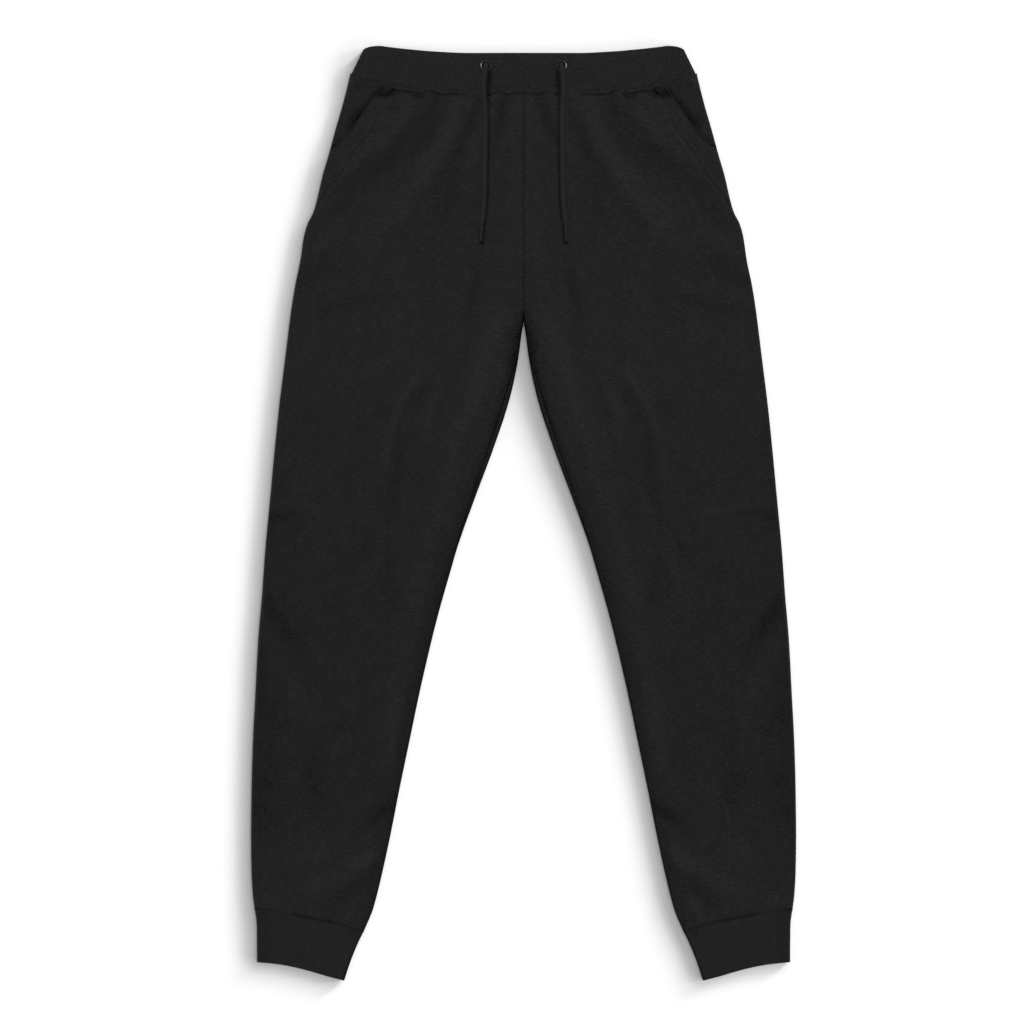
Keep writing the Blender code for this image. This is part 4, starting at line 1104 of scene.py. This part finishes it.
def floor_finish():
    """Plain white paper, with a mottle that is hardly there."""
    finish = Finish("floor", Roughness=1.0, Specular_IOR_Level=0.0)
    finish.color(FLOOR_COLOR, 1 + finish.noise(60, 60, 60) * 0.004)
    return finish.material


# ---- camera, floor and light ----

CAMERA_AT = (-0.0130, 0.0012, 6.0)
FRAME_WIDE = 1.14688  # what the frame takes in at the floor
FLOOR_HALF, FLOOR_UP = 5.0, -0.4 * MM
ROOM_LIGHT = 0.28

# The lamps that light the floor alone: azimuth, elevation, width and strength. Together they are a broad soft
# light from the upper right, so that the shadow is wide on the left and below, and its corners are round.
FLOOR_LAMPS = (
    (-20, 14, 14, 1.12), (10, 14, 14, 1.95), (40, 9, 8, 2.43), (40, 14, 14, 1.06), (40, 18, 22, 1.31),
    (70, 18, 22, 0.88), (10, 80, 50, 0.66),
)
# The lamps of each half of the garment: their azimuth's turn from +Y to that side, elevation, width and
# strength, the pieces that they light, and those that throw shadows in them.
GARMENT_LAMPS = (
    ("low lamp", 65, 30, 40, 1.75, "cloth", "cloth band"),
    ("main lamp", 65, 54, 22, 1.48, "cloth", "cloth cords ring band"),
    ("cord lamp", 65, 76, 110, 1.95, "cords", "cords"),
    ("ring lamp", 82, 24, 40, 2.8, "ring", "cords ring"),
    ("low waist lamp", 65, 30, 40, 0.35, "band", "band"),
    ("main waist lamp", 65, 54, 22, 1.08, "band", "cloth cords ring band"),
)


def camera_above():
    """A long lens straight above the floor."""
    data = bpy.data.cameras.new("camera")
    data.sensor_width, data.lens = 36, 36 * CAMERA_AT[2] / FRAME_WIDE
    camera = new_object("camera", data)
    camera.location = CAMERA_AT
    bpy.context.scene.camera = camera


def floor():
    """A wide plain sheet under the garment."""
    mesh = bpy.data.meshes.new("floor")
    corners = ((-1, -1), (1, -1), (1, 1), (-1, 1))
    mesh.from_pydata([(x * FLOOR_HALF, y * FLOOR_HALF, FLOOR_UP) for x, y in corners], [], [(0, 1, 2, 3)])
    mesh.materials.append(floor_finish())
    plane = new_object("floor", mesh)
    return plane


def group_of(name, pieces):
    group = bpy.data.collections.new(name)
    for piece in pieces:
        group.objects.link(piece)
    return group


def soft_sun(name, azimuth, elevation, width, strength, lit, shading=()):
    """A wide distant lamp on the pieces in lit, in which only those in shading throw shadows, or else all.
    azimuth counts from +X towards +Y, and width is the angle that the lamp covers."""
    data = bpy.data.lights.new(name, "SUN")
    data.angle, data.energy = np.radians(width), strength
    lamp = new_object(name, data)
    lamp.rotation_euler = (0, np.radians(90 - elevation), np.radians(azimuth))
    lamp.light_linking.receiver_collection = group_of(name, lit)
    if shading:
        lamp.light_linking.blocker_collection = group_of(name + " shades", shading)


def room_light():
    """A plain white room all round."""
    room = bpy.data.worlds.new("room")
    room.use_nodes = True
    background = room.node_tree.nodes["Background"]
    background.inputs["Color"].default_value = (1, 1, 1, 1)
    background.inputs["Strength"].default_value = ROOM_LIGHT
    bpy.context.scene.world = room


# ---- the garment ----

camera_above()
ground = floor()
fleece, thread = fleece_finish(), thread_finish()
rib, cuff_rib = rib_finish("rib", 1.0), rib_finish("cuff rib", 0.62)
cord, metal, lacquer = cord_finish(), eyelet_finish(), tip_finish()

(front, front_tones), (back, back_tones) = front_panel(), back_panel()
(facing, facing_tones), (ribbed, ribbed_tones) = pocket_facing(), cuff()
band, band_tones = waistband()
pocket_line = [POCKET_STITCH[axis][:-1] for axis in ("across", "down")]  # its end is hidden at the side
halves = {}
for word, side in SIDES:
    braided, middle = drawcord(word, side, cord)
    tip = cord_tip(word, side, middle[-1], lacquer)
    back_piece = add_cloth(f"back_{word}", back, back_tones, side, fleece)
    front_piece = add_cloth(f"front_{word}", front, front_tones, side, fleece)
    facing_piece = add_cloth(f"pocket_facing_{word}", facing, facing_tones, side, fleece)
    cuff_piece = add_cloth(f"cuff_{word}", ribbed, ribbed_tones, side, cuff_rib, loop=True)
    ring = eyelet(word, side, metal)
    topstitch = stitches(f"pocket_stitches_{word}", side, *pocket_line, thread)
    cloth = [back_piece, front_piece, facing_piece, cuff_piece, topstitch]
    halves[side] = {"cloth": cloth, "cords": [braided, tip], "ring": [ring]}
band_piece = add_cloth("waistband", band, band_tones, 1, rib, loop=True)

room_light()
for n, lamp in enumerate(FLOOR_LAMPS):
    soft_sun(f"floor lamp {n}", *lamp, [ground])
for side, pieces in halves.items():
    pieces["band"] = [band_piece]
    for name, turn, elevation, width, strength, lit, shading in GARMENT_LAMPS:
        lit, shading = (sum((pieces[word] for word in words.split()), []) for words in (lit, shading))
        soft_sun(f"{name} {side}", 90 - side * turn, elevation, width, strength, lit, shading)
bpy.context.scene.view_settings.view_transform = "Standard"
